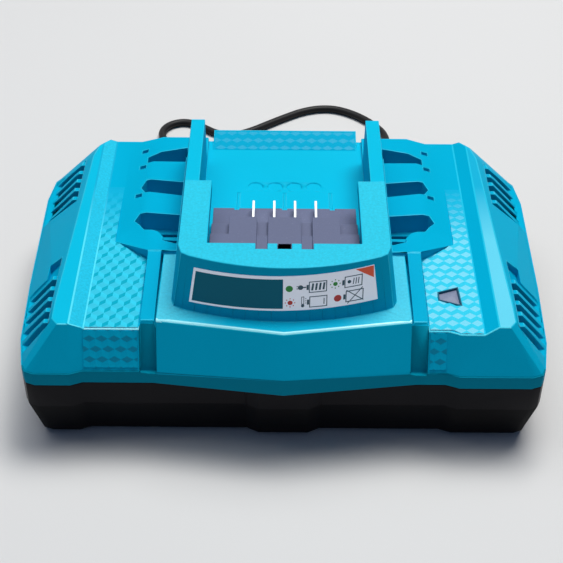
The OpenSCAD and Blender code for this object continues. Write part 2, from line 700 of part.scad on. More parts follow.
flange_h = 1;                         // edge of the window, under the housing's ceiling
function window_outline(k) = [for (p = window) [window_x + p[0] * k, window_y + p[1] * k]];
module led_window() {
    color([0.8, 0.9, 0.92, 0.5]) at_front() {
        slab(window_outline(0.95), cavity_z - flange_h, wall + flange_h - 0.3);
        slab(window_outline(1.3), cavity_z - flange_h, flange_h);
    }
}

guide_r = 1.5;
guide_gap = 5.8;                      // height of the guides' feet above the board
led_pitch = 3.6;
module led_light_guide() {
    color([0.9, 0.93, 0.95, 0.5]) at_front() for (s = [-1, 1])
        post(window_x + s * led_pitch / 2, window_y, board_top + guide_gap,
             cavity_z - flange_h - board_top - guide_gap, guide_r);
}

module status_leds() {
    at_front() for (s = [-1, 1]) color(s < 0 ? "red" : "lime")
        translate([window_x + s * led_pitch / 2, window_y, board_top]) {
            cylinder(r = 1.7, h = 1);
            cylinder(r = 1.5, h = 3.9);
            translate([0, 0, 3.9]) sphere(r = 1.5);
        }
}

// ---------- circuit board and what stands on it ----------

module circuit_board() {
    color([0.12, 0.42, 0.2]) at_front() difference() {
        box(-board_w / 2, board_w / 2, board_y0, board_y0 + board_d, board_z, board_top);
        for (p = board_spots) post(p[0], p[1], board_z - 1, 5, 1.7);
    }
}
module board_screws() {
    color(silver) at_front()
        for (p = board_spots) self_tapper(p[0], p[1], board_top, true, 2.8, 1.8, 6);
}

// Places on the board, from its front edge and from its rear edge
module on_board(x, y) { at_front() translate([x, board_y0 + y, board_top]) children(); }
module at_board_rear(x, y) { at_front() translate([x, board_y1 - y, board_top]) children(); }
mains_row_y = 8;                      // row of mains components, ahead of the rear edge

module input_fuse() {
    at_board_rear(-30, mains_row_y) rotate([0, 90, 0]) {
        color("silver") for (x = [-9, 6]) translate([-2.8, 0, x]) cylinder(r = 2.7, h = 3);
        color([0.9, 0.9, 0.85]) translate([-2.8, 0, -6]) cylinder(r = 2.4, h = 12);
    }
}
module varistor() {
    color([0.1, 0.3, 0.75]) at_board_rear(-12, mains_row_y) translate([0, 2, 6.5]) rotate([90, 0, 0]) {
        cylinder(r = 5.5, h = 4);
        for (x = [-2.5, 2.5]) translate([x - 0.5, -6.5, 1.5]) cube([1, 6.5, 1]);
    }
}
module filter_capacitor() {
    color([0.9, 0.72, 0.1]) on_board(-48.4, 61) translate([-9, -4, 0]) cube([18, 8, 14]);
}
choke_x = -51;
choke_y = 41;
choke_r = 8;
choke_core_r = 2.6;
module ring(r, w, a = 360) { rotate_extrude(angle = a) translate([r, 0]) circle(r = w); }
module filter_choke_core() {
    color([0.25, 0.27, 0.28]) on_board(choke_x, choke_y) translate([0, 0, choke_core_r + 1.4])
        ring(choke_r, choke_core_r);
}
module filter_choke_windings() {
    color([0.78, 0.4, 0.16]) on_board(choke_x, choke_y) translate([0, 0, choke_core_r + 1.4])
        for (a = [20, 200]) rotate([0, 0, a]) difference() {
            ring(choke_r, choke_core_r + 1.4, 140);
            ring(choke_r, choke_core_r + 0.02);
        }
}
module bridge_rectifier() {
    color([0.12, 0.12, 0.13]) on_board(-30, 49) translate([-2, -9, 0]) cube([4, 18, 11]);
}
module bulk_capacitor() {
    color([0.1, 0.12, 0.3]) on_board(-50, 19) difference() {
        cylinder(r = 9, h = 27);
        translate([0, 0, 26.6]) for (a = [0, 90])
            rotate([0, 0, a]) translate([-6, -0.3, 0]) cube([12, 0.6, 1]);
    }
}

plate_t = 2;
sink_half = 13;                       // half length of a heat sink's plate
fin_reach = 8;
sink_left_x = -32;
sink_right_x = 28;
sink_h = 24;
sink_left_y = 23;
sink_right_y = 45;
device_screw_z = 16;                  // height of the devices' screws above the board
module heatsink(x, y, side) {
    color([0.75, 0.77, 0.79]) difference() {
        union() {
            on_board(x, y) box(-plate_t / 2, plate_t / 2, -sink_half, sink_half, 0, sink_h);
            for (k = [-1, 1]) on_board(x, y + k * (sink_half - plate_t / 2))
                box(side > 0 ? -fin_reach : plate_t / 2, side > 0 ? -plate_t / 2 : fin_reach,
                    -plate_t / 2, plate_t / 2, 0, sink_h);
        }
        on_board(x, y) translate([0, 0, device_screw_z]) rotate([0, 90, 0])
            cylinder(r = pilot_r, h = 20, center = true);
    }
}
// Flat three-leg power device that is screwed to its plate
module power_device(x, y, side) {
    on_board(x, y) mirror([side > 0 ? 0 : 1, 0, 0]) {
        color([0.1, 0.1, 0.11]) difference() {
            translate([plate_t / 2, -5, 5]) cube([4.4, 10, 14.5]);
            translate([0, 0, device_screw_z]) rotate([0, 90, 0]) cylinder(r = 1.7, h = 9);
        }
        color("silver") for (k = [-1:1]) translate([plate_t / 2 + 2, k * 2.54 - 0.4, 0]) cube([0.6, 0.8, 5]);
    }
}
module primary_heatsink() { heatsink(sink_left_x, sink_left_y, 1); }
module switching_transistor() { power_device(sink_left_x, sink_left_y, 1); }
module secondary_heatsink() { heatsink(sink_right_x, sink_right_y, -1); }
module output_diode() { power_device(sink_right_x, sink_right_y, -1); }
module heatsink_screws() {
    color(silver) {
        on_board(sink_left_x, sink_left_y) translate([0, 0, device_screw_z]) device_screw(1);
        on_board(sink_right_x, sink_right_y) translate([0, 0, device_screw_z]) device_screw(-1);
    }
}
module device_screw(side) {
    mirror([side > 0 ? 0 : 1, 0, 0]) translate([plate_t / 2 + 4.4, 0, 0]) rotate([0, 90, 0]) {
        cylinder(r = 2.6, h = 1.8);
        translate([0, 0, -7.4]) cylinder(r = 1.3, h = 7.4);
    }
}

// Transformer: two E cores round a wound bobbin
tr_x = -4;
tr_y = 25;                            // from the rear edge of the board
core_w = 28;
core_d = 11;
core_h = 26;
leg = 3.9;
yoke = 4.2;
side_leg = 3.8;
tr_z = 2.6;                           // gap under the lower yoke
module transformer_core() {
    color([0.2, 0.2, 0.21]) at_board_rear(tr_x, tr_y) translate([0, 0, tr_z]) difference() {
        translate([-core_w / 2, -core_d / 2, 0]) cube([core_w, core_d, core_h]);
        for (s = [-1, 1]) translate([s * (leg + core_w / 2 - side_leg) / 2, 0, core_h / 2])
            cube([core_w / 2 - side_leg - leg, core_d + 2, core_h - 2 * yoke], center = true);
    }
}
spool_z0 = tr_z + yoke + seat_gap;
spool_h = core_h - 2 * yoke - 2 * seat_gap;
flange_t = 1.2;
module transformer_bobbin() {
    half_x = core_w / 2 - side_leg - seat_gap;
    color([0.15, 0.15, 0.16]) at_board_rear(tr_x, tr_y) difference() {
        union() {
            translate([-leg - 1.2, -core_d / 2 - 1.2, spool_z0]) cube([2 * leg + 2.4, core_d + 2.4, spool_h]);
            for (z = [spool_z0, spool_z0 + spool_h - flange_t])
                translate([-half_x, -core_d / 2 - 6.2, z]) cube([2 * half_x, core_d + 12.4, flange_t]);
            // pin rails that stand on the board
            for (s = [-1, 1]) translate([-half_x, s * (core_d / 2 + 3.4) - 2.6, 0])
                cube([2 * half_x, 5.2, spool_z0 + 0.5]);
        }
        translate([-leg - seat_gap, -core_d / 2 - seat_gap, spool_z0 - 1])
            cube([2 * (leg + seat_gap), core_d + 2 * seat_gap, spool_h + 2]);
    }
}
module transformer_windings() {
    half_x = core_w / 2 - side_leg - 0.6;
    color([0.93, 0.8, 0.2]) at_board_rear(tr_x, tr_y) translate([0, 0, spool_z0 + flange_t]) difference() {
        translate([-half_x, -core_d / 2 - 5.4, 0]) cube([2 * half_x, core_d + 10.8, spool_h - 2 * flange_t]);
        translate([-leg - 1.2, -core_d / 2 - 1.2, -1]) cube([2 * leg + 2.4, core_d + 2.4, spool_h]);
    }
}

module safety_capacitor() {
    color([0.15, 0.4, 0.8]) at_board_rear(16, mains_row_y) translate([0, 2, 5]) rotate([90, 0, 0]) {
        cylinder(r = 4, h = 3.4);
        for (x = [-2.5, 2.5]) translate([x - 0.4, -5, 1.2]) cube([0.8, 4, 0.8]);
    }
}
module optocoupler() {
    color([0.9, 0.9, 0.88]) on_board(4, 27) translate([-3.2, -2.4, 0]) cube([6.4, 4.8, 3.6]);
}
module controller_chip() {
    on_board(40, 21) {
        color([0.1, 0.1, 0.1]) translate([-5, -3, 0.3]) cube([10, 6, 1.8]);
        color("silver") for (i = [-3:3], s = [-1, 1])
            translate([i * 1.27 - 0.2, s * 3.6 - 0.6, 0]) cube([0.4, 1.2, 0.3]);
    }
}
module output_capacitors() {
    color([0.08, 0.3, 0.2]) for (y = [53, 65]) on_board(47, y) cylinder(r = 5, h = 20);
}
module output_choke_core() {
    color([0.95, 0.85, 0.1]) on_board(46, 37) translate([0, 0, 3.4]) ring(5, 2);
}
module output_choke_winding() {
    color([0.75, 0.36, 0.15]) on_board(46, 37) translate([0, 0, 3.4]) difference() {
        ring(5, 3.4, 300);
        ring(5, 2.02);
    }
}
module current_shunt() {
    color([0.6, 0.6, 0.62]) on_board(24, 21) translate([-3, -1.6, 0]) cube([6, 3.2, 1]);
}

// ---------- mains lead ----------

relief_neck_r = 4.4;
lead_r = lead_d / 2;
module lead_axis() { translate([lead_x, back_y, lead_z]) rotate([-90, 0, 0]) children(); }
module strain_relief() {
    inner = wall + 1.4;
    color(black) lead_axis() rotate_extrude() polygon([
        [lead_r + 0.05, -inner - 2], [relief_neck_r + 1.4, -inner - 2],
        [relief_neck_r + 1.4, -inner - seat_gap],
        [relief_neck_r, -inner - seat_gap], [relief_neck_r, seat_gap], [relief_neck_r + 1.2, seat_gap],
        [relief_neck_r + 1.2, 1.8], [relief_neck_r - 0.4, 2.2], [lead_r + 0.8, relief_len],
        [lead_r + 0.05, relief_len]]);
}
tail_in = 17;                         // how far the sheath reaches inside the wall
module mains_lead_tail() {
    color(black) lead_axis() translate([0, 0, -tail_in]) cylinder(r = lead_r, h = tail_in + relief_len);
}
core_r = 0.75;                        // insulated core of the lead
core_y = board_y1 - 3;                // where the cores meet the board, from the front line
module mains_conductors() {
    for (s = [-1, 1]) color(s < 0 ? [0.4, 0.22, 0.1] : [0.1, 0.3, 0.8])
        at_front() translate([lead_x + s * lead_r / 2, core_y, 0]) {
            translate([0, 0, board_top]) cylinder(r = core_r, h = lead_z - board_top);
            translate([0, 0, lead_z]) {
                sphere(r = core_r);
                rotate([-90, 0, 0]) cylinder(r = core_r, h = body_d - tail_in - core_y);
            }
        }
}
module cord_clamp() {
    color(black) at_front() difference() {
        box(lead_x - clamp_post_x - 3, lead_x + clamp_post_x + 3, clamp_y - clamp_half_d,
            clamp_y + clamp_half_d, clamp_z, clamp_z + lead_d + 2);
        translate([lead_x, clamp_y + 5, lead_z]) rotate([90, 0, 0]) cylinder(r = lead_r + 0.05, h = 10);
        box(lead_x - lead_r, lead_x + lead_r, clamp_y - 5, clamp_y + 5, clamp_z - 1, lead_z);
        for (x = [-1, 1]) post(lead_x + x * clamp_post_x, clamp_y, clamp_z - 1, 20, screw_r + 0.2);
    }
}
module cord_clamp_screws() {
    color(silver) at_front() for (x = [-1, 1])
        self_tapper(lead_x + x * clamp_post_x, clamp_y, clamp_z + lead_d + 2, true, 2.8, 1.8, lead_d + 7);
}

// Free lead: one swept tube from the strain relief to the coil behind the charger
cord_points = [
    [-45, 87, 14], [-45, 90, 14], [-45, 94, 13.4], [-45.4, 99, 11.4], [-46.3, 104, 8.6], [-47.8, 109.5, 5.4],
    [-50, 115, 2.9], [-52.6, 120.4, 1.8], [-55.2, 125.4, 1.7], [-56, 130.2, 1.7], [-54.3, 134.7, 1.7],
    [-50.6, 137.8, 1.7], [-45.8, 138.7, 1.7], [-41, 137.1, 1.7], [-36.4, 133.7, 1.7], [-31.6, 130.3, 1.7],
    [-26, 128.6, 1.7], [-20.2, 129.6, 1.7], [-14.4, 132.8, 1.7], [-7.6, 137.8, 1.7], [-0.2, 143.2, 1.7],
    [7.6, 148.2, 1.7], [15.6, 151, 1.7], [23.6, 150.8, 1.7], [31.2, 147.2, 1.7], [37.8, 141.6, 1.7],
    [42.8, 135.2, 1.7], [45.5, 129.6, 1.7], [46, 124.2, 1.7], [44.5, 117.5, 1.7], [40.3, 112, 1.7],
    [34.1, 108.8, 1.7], [26.4, 108.7, 1.7]
];
function unit(v) = v / norm(v);
function heading(p, i) = unit(p[min(i + 1, len(p) - 1)] - p[max(i - 1, 0)]);
// Point on the smooth curve through the route, at a place between two of its points
function on_curve(p, i, t) = let (
    a = p[max(i - 1, 0)], b = p[i], c = p[min(i + 1, len(p) - 1)], d = p[min(i + 2, len(p) - 1)]
) 0.5 * (2 * b + (c - a) * t + (2 * a - 5 * b + 4 * c - d) * t * t + (3 * b - a - 3 * c + d) * t * t * t);
function smooth_route(p, steps) = concat(
    [for (i = [0:len(p) - 2], k = [0:steps - 1]) on_curve(p, i, k / steps)], [p[len(p) - 1]]);
function ring_points(p, i, r, sides) = let (
    h = heading(p, i), side = unit(cross(h, [0, 0, 1])), up = cross(side, h)
) [for (k = [0:sides - 1]) p[i] + r * (cos(360 * k / sides) * side + sin(360 * k / sides) * up)];
module swept_tube(route, r, sides) {
    n = len(route);
    polyhedron(
        points = [for (i = [0:n - 1]) each ring_points(route, i, r, sides)],
        faces = concat(
            [[for (k = [sides - 1:-1:0]) k]],
            [for (i = [0:n - 2], k = [0:sides - 1])
                [i * sides + k, i * sides + (k + 1) % sides,
                 (i + 1) * sides + (k + 1) % sides, (i + 1) * sides + k]],
            [[for (k = [0:sides - 1]) (n - 1) * sides + k]]));
}
module mains_cord() { color(black) swept_tube(smooth_route(cord_points, 2), lead_r, 8); }

coil_spot = [0, 92.6];                // middle of the coil, in plan
coil_outer_r = 29.3;
coil_inner_r = 11.5;
coil_layers = 2;
coil_mid_r = (coil_outer_r + coil_inner_r) / 2;
coil_half = (coil_outer_r - coil_inner_r) / 2;
coil_h = coil_layers * lead_d;
module cord_coil() {
    color(black) difference() {
        translate([coil_spot[0], coil_spot[1], 0]) rotate_extrude()
            translate([coil_mid_r - coil_half, 0]) square([2 * coil_half, coil_h]);
        tie_band();
    }
}
tie_w = 10;
tie_t = 1;
tie_grip = 1.4;                       // how far the tie is pulled into the turns
tie_angle = 200;
module tie_band() {
    span = coil_half + tie_t;
    translate([coil_spot[0], coil_spot[1], 0]) rotate([0, 0, tie_angle])
        translate([coil_mid_r, 0, 0]) difference() {
            translate([-span, -tie_w / 2, 0]) cube([2 * span, tie_w, coil_h + tie_t]);
            translate([tie_grip - coil_half, -tie_w, tie_t])
                cube([2 * (coil_half - tie_grip), 2 * tie_w, coil_h - tie_t]);
        }
}
module cord_tie() { color([0.12, 0.12, 0.13]) tie_band(); }

// Plug with two flat blades, lying beside the coil
plug_t = 13;
plug_at = [33, 77, plug_t / 2];       // where the lead enters the plug
tail_points = [[13.8, 68.7, 5.1], [18.1, 71.2, 5.1], [22.5, 73.7, 5.4], [27.5, 76, 6], [33, 77, 6.5]];
module cord_tail() { color(black) swept_tube(smooth_route(tail_points, 3), lead_r, 8); }

plug_grip = 14;                       // tapered neck behind the plug's body
plug_len = 31;
plug_w = 24;
blade_gap = 12.7;
module plug_body() {
    color(black) translate(plug_at) difference() {
        union() {
            rotate([0, 90, 0]) rotate_extrude() polygon([
                [0, 0], [lead_r + 0.7, 0], [5, plug_grip - 2], [5, plug_grip + 2], [0, plug_grip + 2]]);
            translate([plug_grip, 0, -plug_t / 2]) linear_extrude(plug_t) polygon([
                [0, -6], [5, 1 - plug_w / 2], [7, -plug_w / 2], [plug_len - plug_grip, -plug_w / 2],
                [plug_len - plug_grip, plug_w / 2], [7, plug_w / 2], [5, plug_w / 2 - 1], [0, 6]]);
        }
        for (s = [-1, 1]) translate([plug_len - 8, s * blade_gap / 2 - 0.8, -3.3]) cube([20, 1.6, 6.6]);
    }
}
module plug_pins() {
    color([0.85, 0.78, 0.5]) translate(plug_at) for (s = [-1, 1])
        translate([plug_len - 8, s * blade_gap / 2, 0]) rotate([90, 0, 0]) difference() {
            translate([0, 0, -0.75]) linear_extrude(1.5) polygon([
                [0, -3.2], [22.5, -3.2], [24, -2], [24, 2], [22.5, 3.2], [0, 3.2]]);
            translate([20, 0, -1]) cylinder(r = 1.5, h = 2);
        }
}

top_housing();
base_housing();
rubber_feet();
housing_screws();
terminal_block();
contact_positive();
contact_sense();
contact_signal();
contact_negative();
terminal_block_screws();
contact_leads();
status_label();
led_window();
led_light_guide();
status_leds();
circuit_board();
board_screws();
input_fuse();
varistor();
filter_capacitor();
filter_choke_core();
filter_choke_windings();
bridge_rectifier();
bulk_capacitor();
switching_transistor();
primary_heatsink();
transformer_core();
transformer_bobbin();
transformer_windings();
safety_capacitor();
optocoupler();
controller_chip();
output_diode();
secondary_heatsink();
heatsink_screws();
output_capacitors();
output_choke_core();
output_choke_winding();
current_shunt();
cord_clamp();
cord_clamp_screws();
strain_relief();
mains_lead_tail();
mains_conductors();
mains_cord();
cord_coil();
cord_tie();
cord_tail();
plug_body();
plug_pins();
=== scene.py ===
# Dressed scene of the battery charger: studio, cord, materials and moulded detail.
import math

import bmesh
import bpy
from mathutils import Matrix, Vector


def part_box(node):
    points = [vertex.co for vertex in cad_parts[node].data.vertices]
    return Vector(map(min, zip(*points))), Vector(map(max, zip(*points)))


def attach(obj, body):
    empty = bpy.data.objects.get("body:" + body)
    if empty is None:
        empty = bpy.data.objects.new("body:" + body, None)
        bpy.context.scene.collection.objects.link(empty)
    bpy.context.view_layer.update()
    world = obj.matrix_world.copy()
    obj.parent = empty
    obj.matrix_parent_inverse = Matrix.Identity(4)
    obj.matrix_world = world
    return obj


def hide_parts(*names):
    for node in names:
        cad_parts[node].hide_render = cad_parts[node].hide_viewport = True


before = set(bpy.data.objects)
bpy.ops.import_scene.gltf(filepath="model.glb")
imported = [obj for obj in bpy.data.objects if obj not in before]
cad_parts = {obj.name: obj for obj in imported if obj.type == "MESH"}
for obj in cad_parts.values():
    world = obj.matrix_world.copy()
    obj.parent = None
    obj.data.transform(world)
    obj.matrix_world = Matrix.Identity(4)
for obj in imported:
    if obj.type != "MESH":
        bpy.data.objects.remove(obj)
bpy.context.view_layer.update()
scene = bpy.context.scene
MM = 0.001

# -------------------- node helpers


def node_group(name, inputs, outputs):
    group = bpy.data.node_groups.new(name, "ShaderNodeTree")
    for label, kind, value in inputs:
        socket = group.interface.new_socket(name=label, in_out="INPUT", socket_type=kind)
        socket.default_value = value
    for label, kind in outputs:
        group.interface.new_socket(name=label, in_out="OUTPUT", socket_type=kind)
    return group, group.nodes.new("NodeGroupInput"), group.nodes.new("NodeGroupOutput")


def math_node(tree, operation, a, b, clamp=False):
    """Result of one operation on two numbers or sockets."""
    node = tree.nodes.new("ShaderNodeMath")
    node.operation = operation
    node.use_clamp = clamp
    for index, value in enumerate((a, b)):
        if isinstance(value, (int, float)):
            node.inputs[index].default_value = value
        else:
            tree.links.new(value, node.inputs[index])
    return node.outputs[0]


def noise_node(tree, scale, detail=2.0, rough=0.5):
    coord = tree.nodes.new("ShaderNodeTexCoord")
    noise = tree.nodes.new("ShaderNodeTexNoise")
    noise.inputs["Detail"].default_value = detail
    noise.inputs["Roughness"].default_value = rough
    tree.links.new(coord.outputs["Object"], noise.inputs["Vector"])
    if isinstance(scale, (int, float)):
        noise.inputs["Scale"].default_value = scale
    else:
        tree.links.new(scale, noise.inputs["Scale"])
    return noise.outputs["Fac"]


def linear(r, g, b):
    """Linear colour from the 0 to 255 values of a colour chart."""
    return tuple((c / 255 / 12.92) if c <= 10 else ((c / 255 + 0.055) / 1.055) ** 2.4 for c in (r, g, b))


# -------------------- camera and light

CAMERA_TILT = math.radians(40.5)
CAMERA_ROLL = math.radians(0.45536)
CAMERA_PLACE = Vector((-0.90, -350.64, 323.09)) * MM
CAMERA_LENS = 80.07
LAMP_AIM = Vector((0.0, 0.0, 0.03))
BOUNCE_COLOUR, BOUNCE_STRENGTH = (0.34, 0.54, 1.0, 1), 0.12
BACKDROP_COLOUR, BACKDROP_STRENGTH = (0.86, 0.87, 0.88, 1), 1.0


def make_camera():
    """Camera that looks down at the charger, rolled a little about its own axis."""
    data = bpy.data.cameras.new("studio_camera")
    data.sensor_width = 36.0
    data.lens = CAMERA_LENS
    data.clip_start = 0.02
    camera = bpy.data.objects.new("studio_camera", data)
    scene.collection.objects.link(camera)
    right = Vector((math.cos(CAMERA_ROLL), math.sin(CAMERA_ROLL) * math.sin(CAMERA_TILT),
                    math.sin(CAMERA_ROLL) * math.cos(CAMERA_TILT)))
    forward = Vector((0.0, math.cos(CAMERA_TILT), -math.sin(CAMERA_TILT)))
    up = right.cross(forward)
    turn = Matrix((right, up, -forward)).transposed().to_4x4()
    camera.matrix_world = Matrix.Translation(CAMERA_PLACE) @ turn
    scene.camera = camera


def area_light(name, place, size, power, colour):
    data = bpy.data.lights.new(name, "AREA")
    data.shape = "RECTANGLE"
    data.size, data.size_y = size
    data.energy = power
    data.color = colour
    lamp = bpy.data.objects.new(name, data)
    scene.collection.objects.link(lamp)
    lamp.location = Vector(place)
    lamp.rotation_euler = (LAMP_AIM - Vector(place)).to_track_quat("-Z", "Y").to_euler()


def background(nodes, colour, strength):
    node = nodes.new("ShaderNodeBackground")
    node.inputs["Color"].default_value = colour
    node.inputs["Strength"].default_value = strength
    return node.outputs["Background"]


def make_world():
    """Pale backdrop where it is seen or mirrored, weak blue light from all sides elsewhere."""
    world = bpy.data.worlds.new("studio_world")
    scene.world = world
    world.use_nodes = True
    tree = world.node_tree
    tree.nodes.clear()
    out = tree.nodes.new("ShaderNodeOutputWorld")
    path = tree.nodes.new("ShaderNodeLightPath")
    mix = tree.nodes.new("ShaderNodeMixShader")
    mirrored_ray = math_node(tree, "MAXIMUM", path.outputs["Is Glossy Ray"],
                             path.outputs["Is Transmission Ray"])
    seen_ray = math_node(tree, "MAXIMUM", path.outputs["Is Camera Ray"], mirrored_ray)
    tree.links.new(seen_ray, mix.inputs["Fac"])
    tree.links.new(background(tree.nodes, BOUNCE_COLOUR, BOUNCE_STRENGTH), mix.inputs[1])
    tree.links.new(background(tree.nodes, BACKDROP_COLOUR, BACKDROP_STRENGTH), mix.inputs[2])
    tree.links.new(mix.outputs["Shader"], out.inputs["Surface"])


def make_lamps():
    """High soft lamps overhead and a weak cool fill from the front."""
    area_light("key_lamp", (0.3, 0.36, 1.42), size=(0.8, 0.6), power=19.0, colour=(1.0, 0.99, 0.96))
    area_light("top_lamp", (-0.35, 0.2, 1.35), size=(1.0, 0.8), power=6.0, colour=(0.97, 0.99, 1.0))
    area_light("fill_lamp", (-0.3, -1.2, 0.7), size=(1.0, 0.8), power=0.4, colour=(0.35, 0.55, 1.0))


scene.view_settings.view_transform = "Standard"
make_camera()
make_world()
make_lamps()

# -------------------- finishes

SPECK_SCALE, SPECK_LIMIT = 1400.0, 0.69
CLOUD_SCALE, CLOUD_SHADE, CLOUD_GLOSS = 22.0, 0.12, 0.2
DUST_COLOUR = (0.75, 0.8, 0.8, 1)
COAT_ROUGHNESS = 0.15


def colour_mix(tree):
    mix = tree.nodes.new("ShaderNodeMix")
    mix.data_type = "RGBA"
    return mix


def swing(tree, value, amount):
    """A noise value, centred on zero and scaled."""
    return math_node(tree, "MULTIPLY", math_node(tree, "SUBTRACT", value, 0.5), amount)


def dust_amount(tree, strength):
    """How much of the fine specks shows: they lie on what faces up."""
    geometry = tree.nodes.new("ShaderNodeNewGeometry")
    split = tree.nodes.new("ShaderNodeSeparateXYZ")
    tree.links.new(geometry.outputs["Normal"], split.inputs[0])
    up = math_node(tree, "MULTIPLY", split.outputs["Z"], 1.0, True)
    speck = math_node(tree, "GREATER_THAN", noise_node(tree, SPECK_SCALE), SPECK_LIMIT)
    return math_node(tree, "MULTIPLY", math_node(tree, "MULTIPLY", speck, up), strength, True)


def make_moulded_grain():
    """Spark-eroded grain with faint dust and a little uneven gloss."""
    group, source, out = node_group(
        "moulded_grain",
        [("Color", "NodeSocketColor", (0.5, 0.5, 0.5, 1)), ("Grain Scale", "NodeSocketFloat", 3000.0),
         ("Mottle", "NodeSocketFloat", 0.06), ("Dust", "NodeSocketFloat", 0.05),
         ("Roughness", "NodeSocketFloat", 0.5)],
        [("Color", "NodeSocketColor"), ("Roughness", "NodeSocketFloat"), ("Height", "NodeSocketFloat")])
    grain = noise_node(group, source.outputs["Grain Scale"], 3.0, 0.6)
    cloud = noise_node(group, CLOUD_SCALE, 3.0, 0.55)
    shade = math_node(group, "ADD", swing(group, grain, source.outputs["Mottle"]),
                      swing(group, cloud, CLOUD_SHADE))
    tone = group.nodes.new("ShaderNodeVectorMath")
    tone.operation = "SCALE"
    group.links.new(source.outputs["Color"], tone.inputs[0])
    group.links.new(math_node(group, "ADD", shade, 1.0), tone.inputs["Scale"])
    mix = colour_mix(group)
    group.links.new(dust_amount(group, source.outputs["Dust"]), mix.inputs["Factor"])
    group.links.new(tone.outputs[0], mix.inputs["A"])
    mix.inputs["B"].default_value = DUST_COLOUR
    gloss = math_node(group, "ADD", source.outputs["Roughness"], swing(group, cloud, CLOUD_GLOSS), True)
    group.links.new(mix.outputs["Result"], out.inputs["Color"])
    group.links.new(gloss, out.inputs["Roughness"])
    group.links.new(grain, out.inputs["Height"])
    return group


MOULDED_GRAIN = make_moulded_grain()


def plain_material(name):
    material = bpy.data.materials.new(name)
    material.use_nodes = True
    tree = material.node_tree
    return material, tree, tree.nodes["Principled BSDF"]


def moulded(name, colour, roughness=0.5, grain=3000, bump=0.25, mottle=0.06, dust=0.05, metallic=0.0,
            coat=0.0, specular=0.3, depth=0.00001):
    """A moulded, painted or plated finish with its own grain. depth is the grain's, in metres."""
    material, tree, shader = plain_material(name)
    group = tree.nodes.new("ShaderNodeGroup")
    group.node_tree = MOULDED_GRAIN
    group.inputs["Color"].default_value = (*colour, 1)
    group.inputs["Grain Scale"].default_value = grain
    group.inputs["Mottle"].default_value = mottle
    group.inputs["Dust"].default_value = dust
    group.inputs["Roughness"].default_value = roughness
    tree.links.new(group.outputs["Color"], shader.inputs["Base Color"])
    tree.links.new(group.outputs["Roughness"], shader.inputs["Roughness"])
    bump_node = tree.nodes.new("ShaderNodeBump")
    bump_node.inputs["Strength"].default_value = bump
    bump_node.inputs["Distance"].default_value = depth
    tree.links.new(group.outputs["Height"], bump_node.inputs["Height"])
    tree.links.new(bump_node.outputs["Normal"], shader.inputs["Normal"])
    shader.inputs["Metallic"].default_value = metallic
    shader.inputs["Specular IOR Level"].default_value = specular
    if coat:
        shader.inputs["Coat Weight"].default_value = coat
        shader.inputs["Coat Roughness"].default_value = COAT_ROUGHNESS
    return material


def satin_teal(name, colour, roughness, specular, mottle=0.12):
    """The housing's own fine grain."""
    return moulded(name, colour, roughness=roughness, grain=2600, bump=0.5, mottle=mottle, dust=0.003,
                   specular=specular)


def coarse_teal(name, colour, mottle, dust, specular, depth):
    """The coarse grain of the arms, the left ridge's slope and the top of the bulge."""
    return moulded(name, colour, roughness=0.45, grain=1300, bump=1.0, mottle=mottle, dust=dust,
                   specular=specular, depth=depth)


def printed_ink(name, colour):
    return moulded(name, colour, roughness=0.35, grain=1500, bump=0.1, mottle=0.05, dust=0.02, coat=0.3)


def clear_material(name, colour, roughness):
    material, tree, shader = plain_material(name)
    shader.inputs["Transmission Weight"].default_value = 0.85
    shader.inputs["IOR"].default_value = 1.5
    ripple = math_node(tree, "MULTIPLY", noise_node(tree, 400.0), 0.12)
    tree.links.new(math_node(tree, "ADD", ripple, roughness), shader.inputs["Roughness"])
    shader.inputs["Base Color"].default_value = (*colour, 1)
    return material


def own_axis(tree, axis):
    """Place along one of the object's own axes, in metres."""
    coord = tree.nodes.new("ShaderNodeTexCoord")
    split = tree.nodes.new("ShaderNodeSeparateXYZ")
    tree.links.new(coord.outputs["Object"], split.inputs[0])
    return split.outputs[axis]


def turn_into(material, colour, value, start, end):
    """A finish's own colour turns into another one while a value runs from start to end."""
    tree = material.node_tree
    base = tree.nodes["Principled BSDF"].inputs["Base Color"]
    reach = tree.nodes.new("ShaderNodeMapRange")
    reach.inputs["From Min"].default_value = start
    reach.inputs["From Max"].default_value = end
    tree.links.new(value, reach.inputs["Value"])
    mix = colour_mix(tree)
    tree.links.new(reach.outputs["Result"], mix.inputs["Factor"])
    tree.links.new(base.links[0].from_socket, mix.inputs["A"])
    mix.inputs["B"].default_value = (*colour, 1)
    tree.links.new(mix.outputs["Result"], base)


TEAL = linear(0, 170, 206)
RELIEF_FADE = (-0.006, 0.026)  # metres from front to back
SHEEN_FADE = (0.018, 0.036)  # metres from the middle to either side


def relief_material(name, colour, roughness, specular):
    """Teal that turns plain towards the back, where the relief runs out."""
    material = satin_teal(name, colour, roughness, specular)
    turn_into(material, TEAL, own_axis(material.node_tree, "Y"), *RELIEF_FADE)
    return material


def sheen_material(name, middle, ends):
    """Painted sheen: teal that turns paler towards both sides of the charger."""
    material = coarse_teal(name, ends, mottle=0.4, dust=0.003, specular=0.1, depth=0.00003)
    aside = math_node(material.node_tree, "ABSOLUTE", own_axis(material.node_tree, "X"), 0.0)
    turn_into(material, middle, aside, *reversed(SHEEN_FADE))
    return material


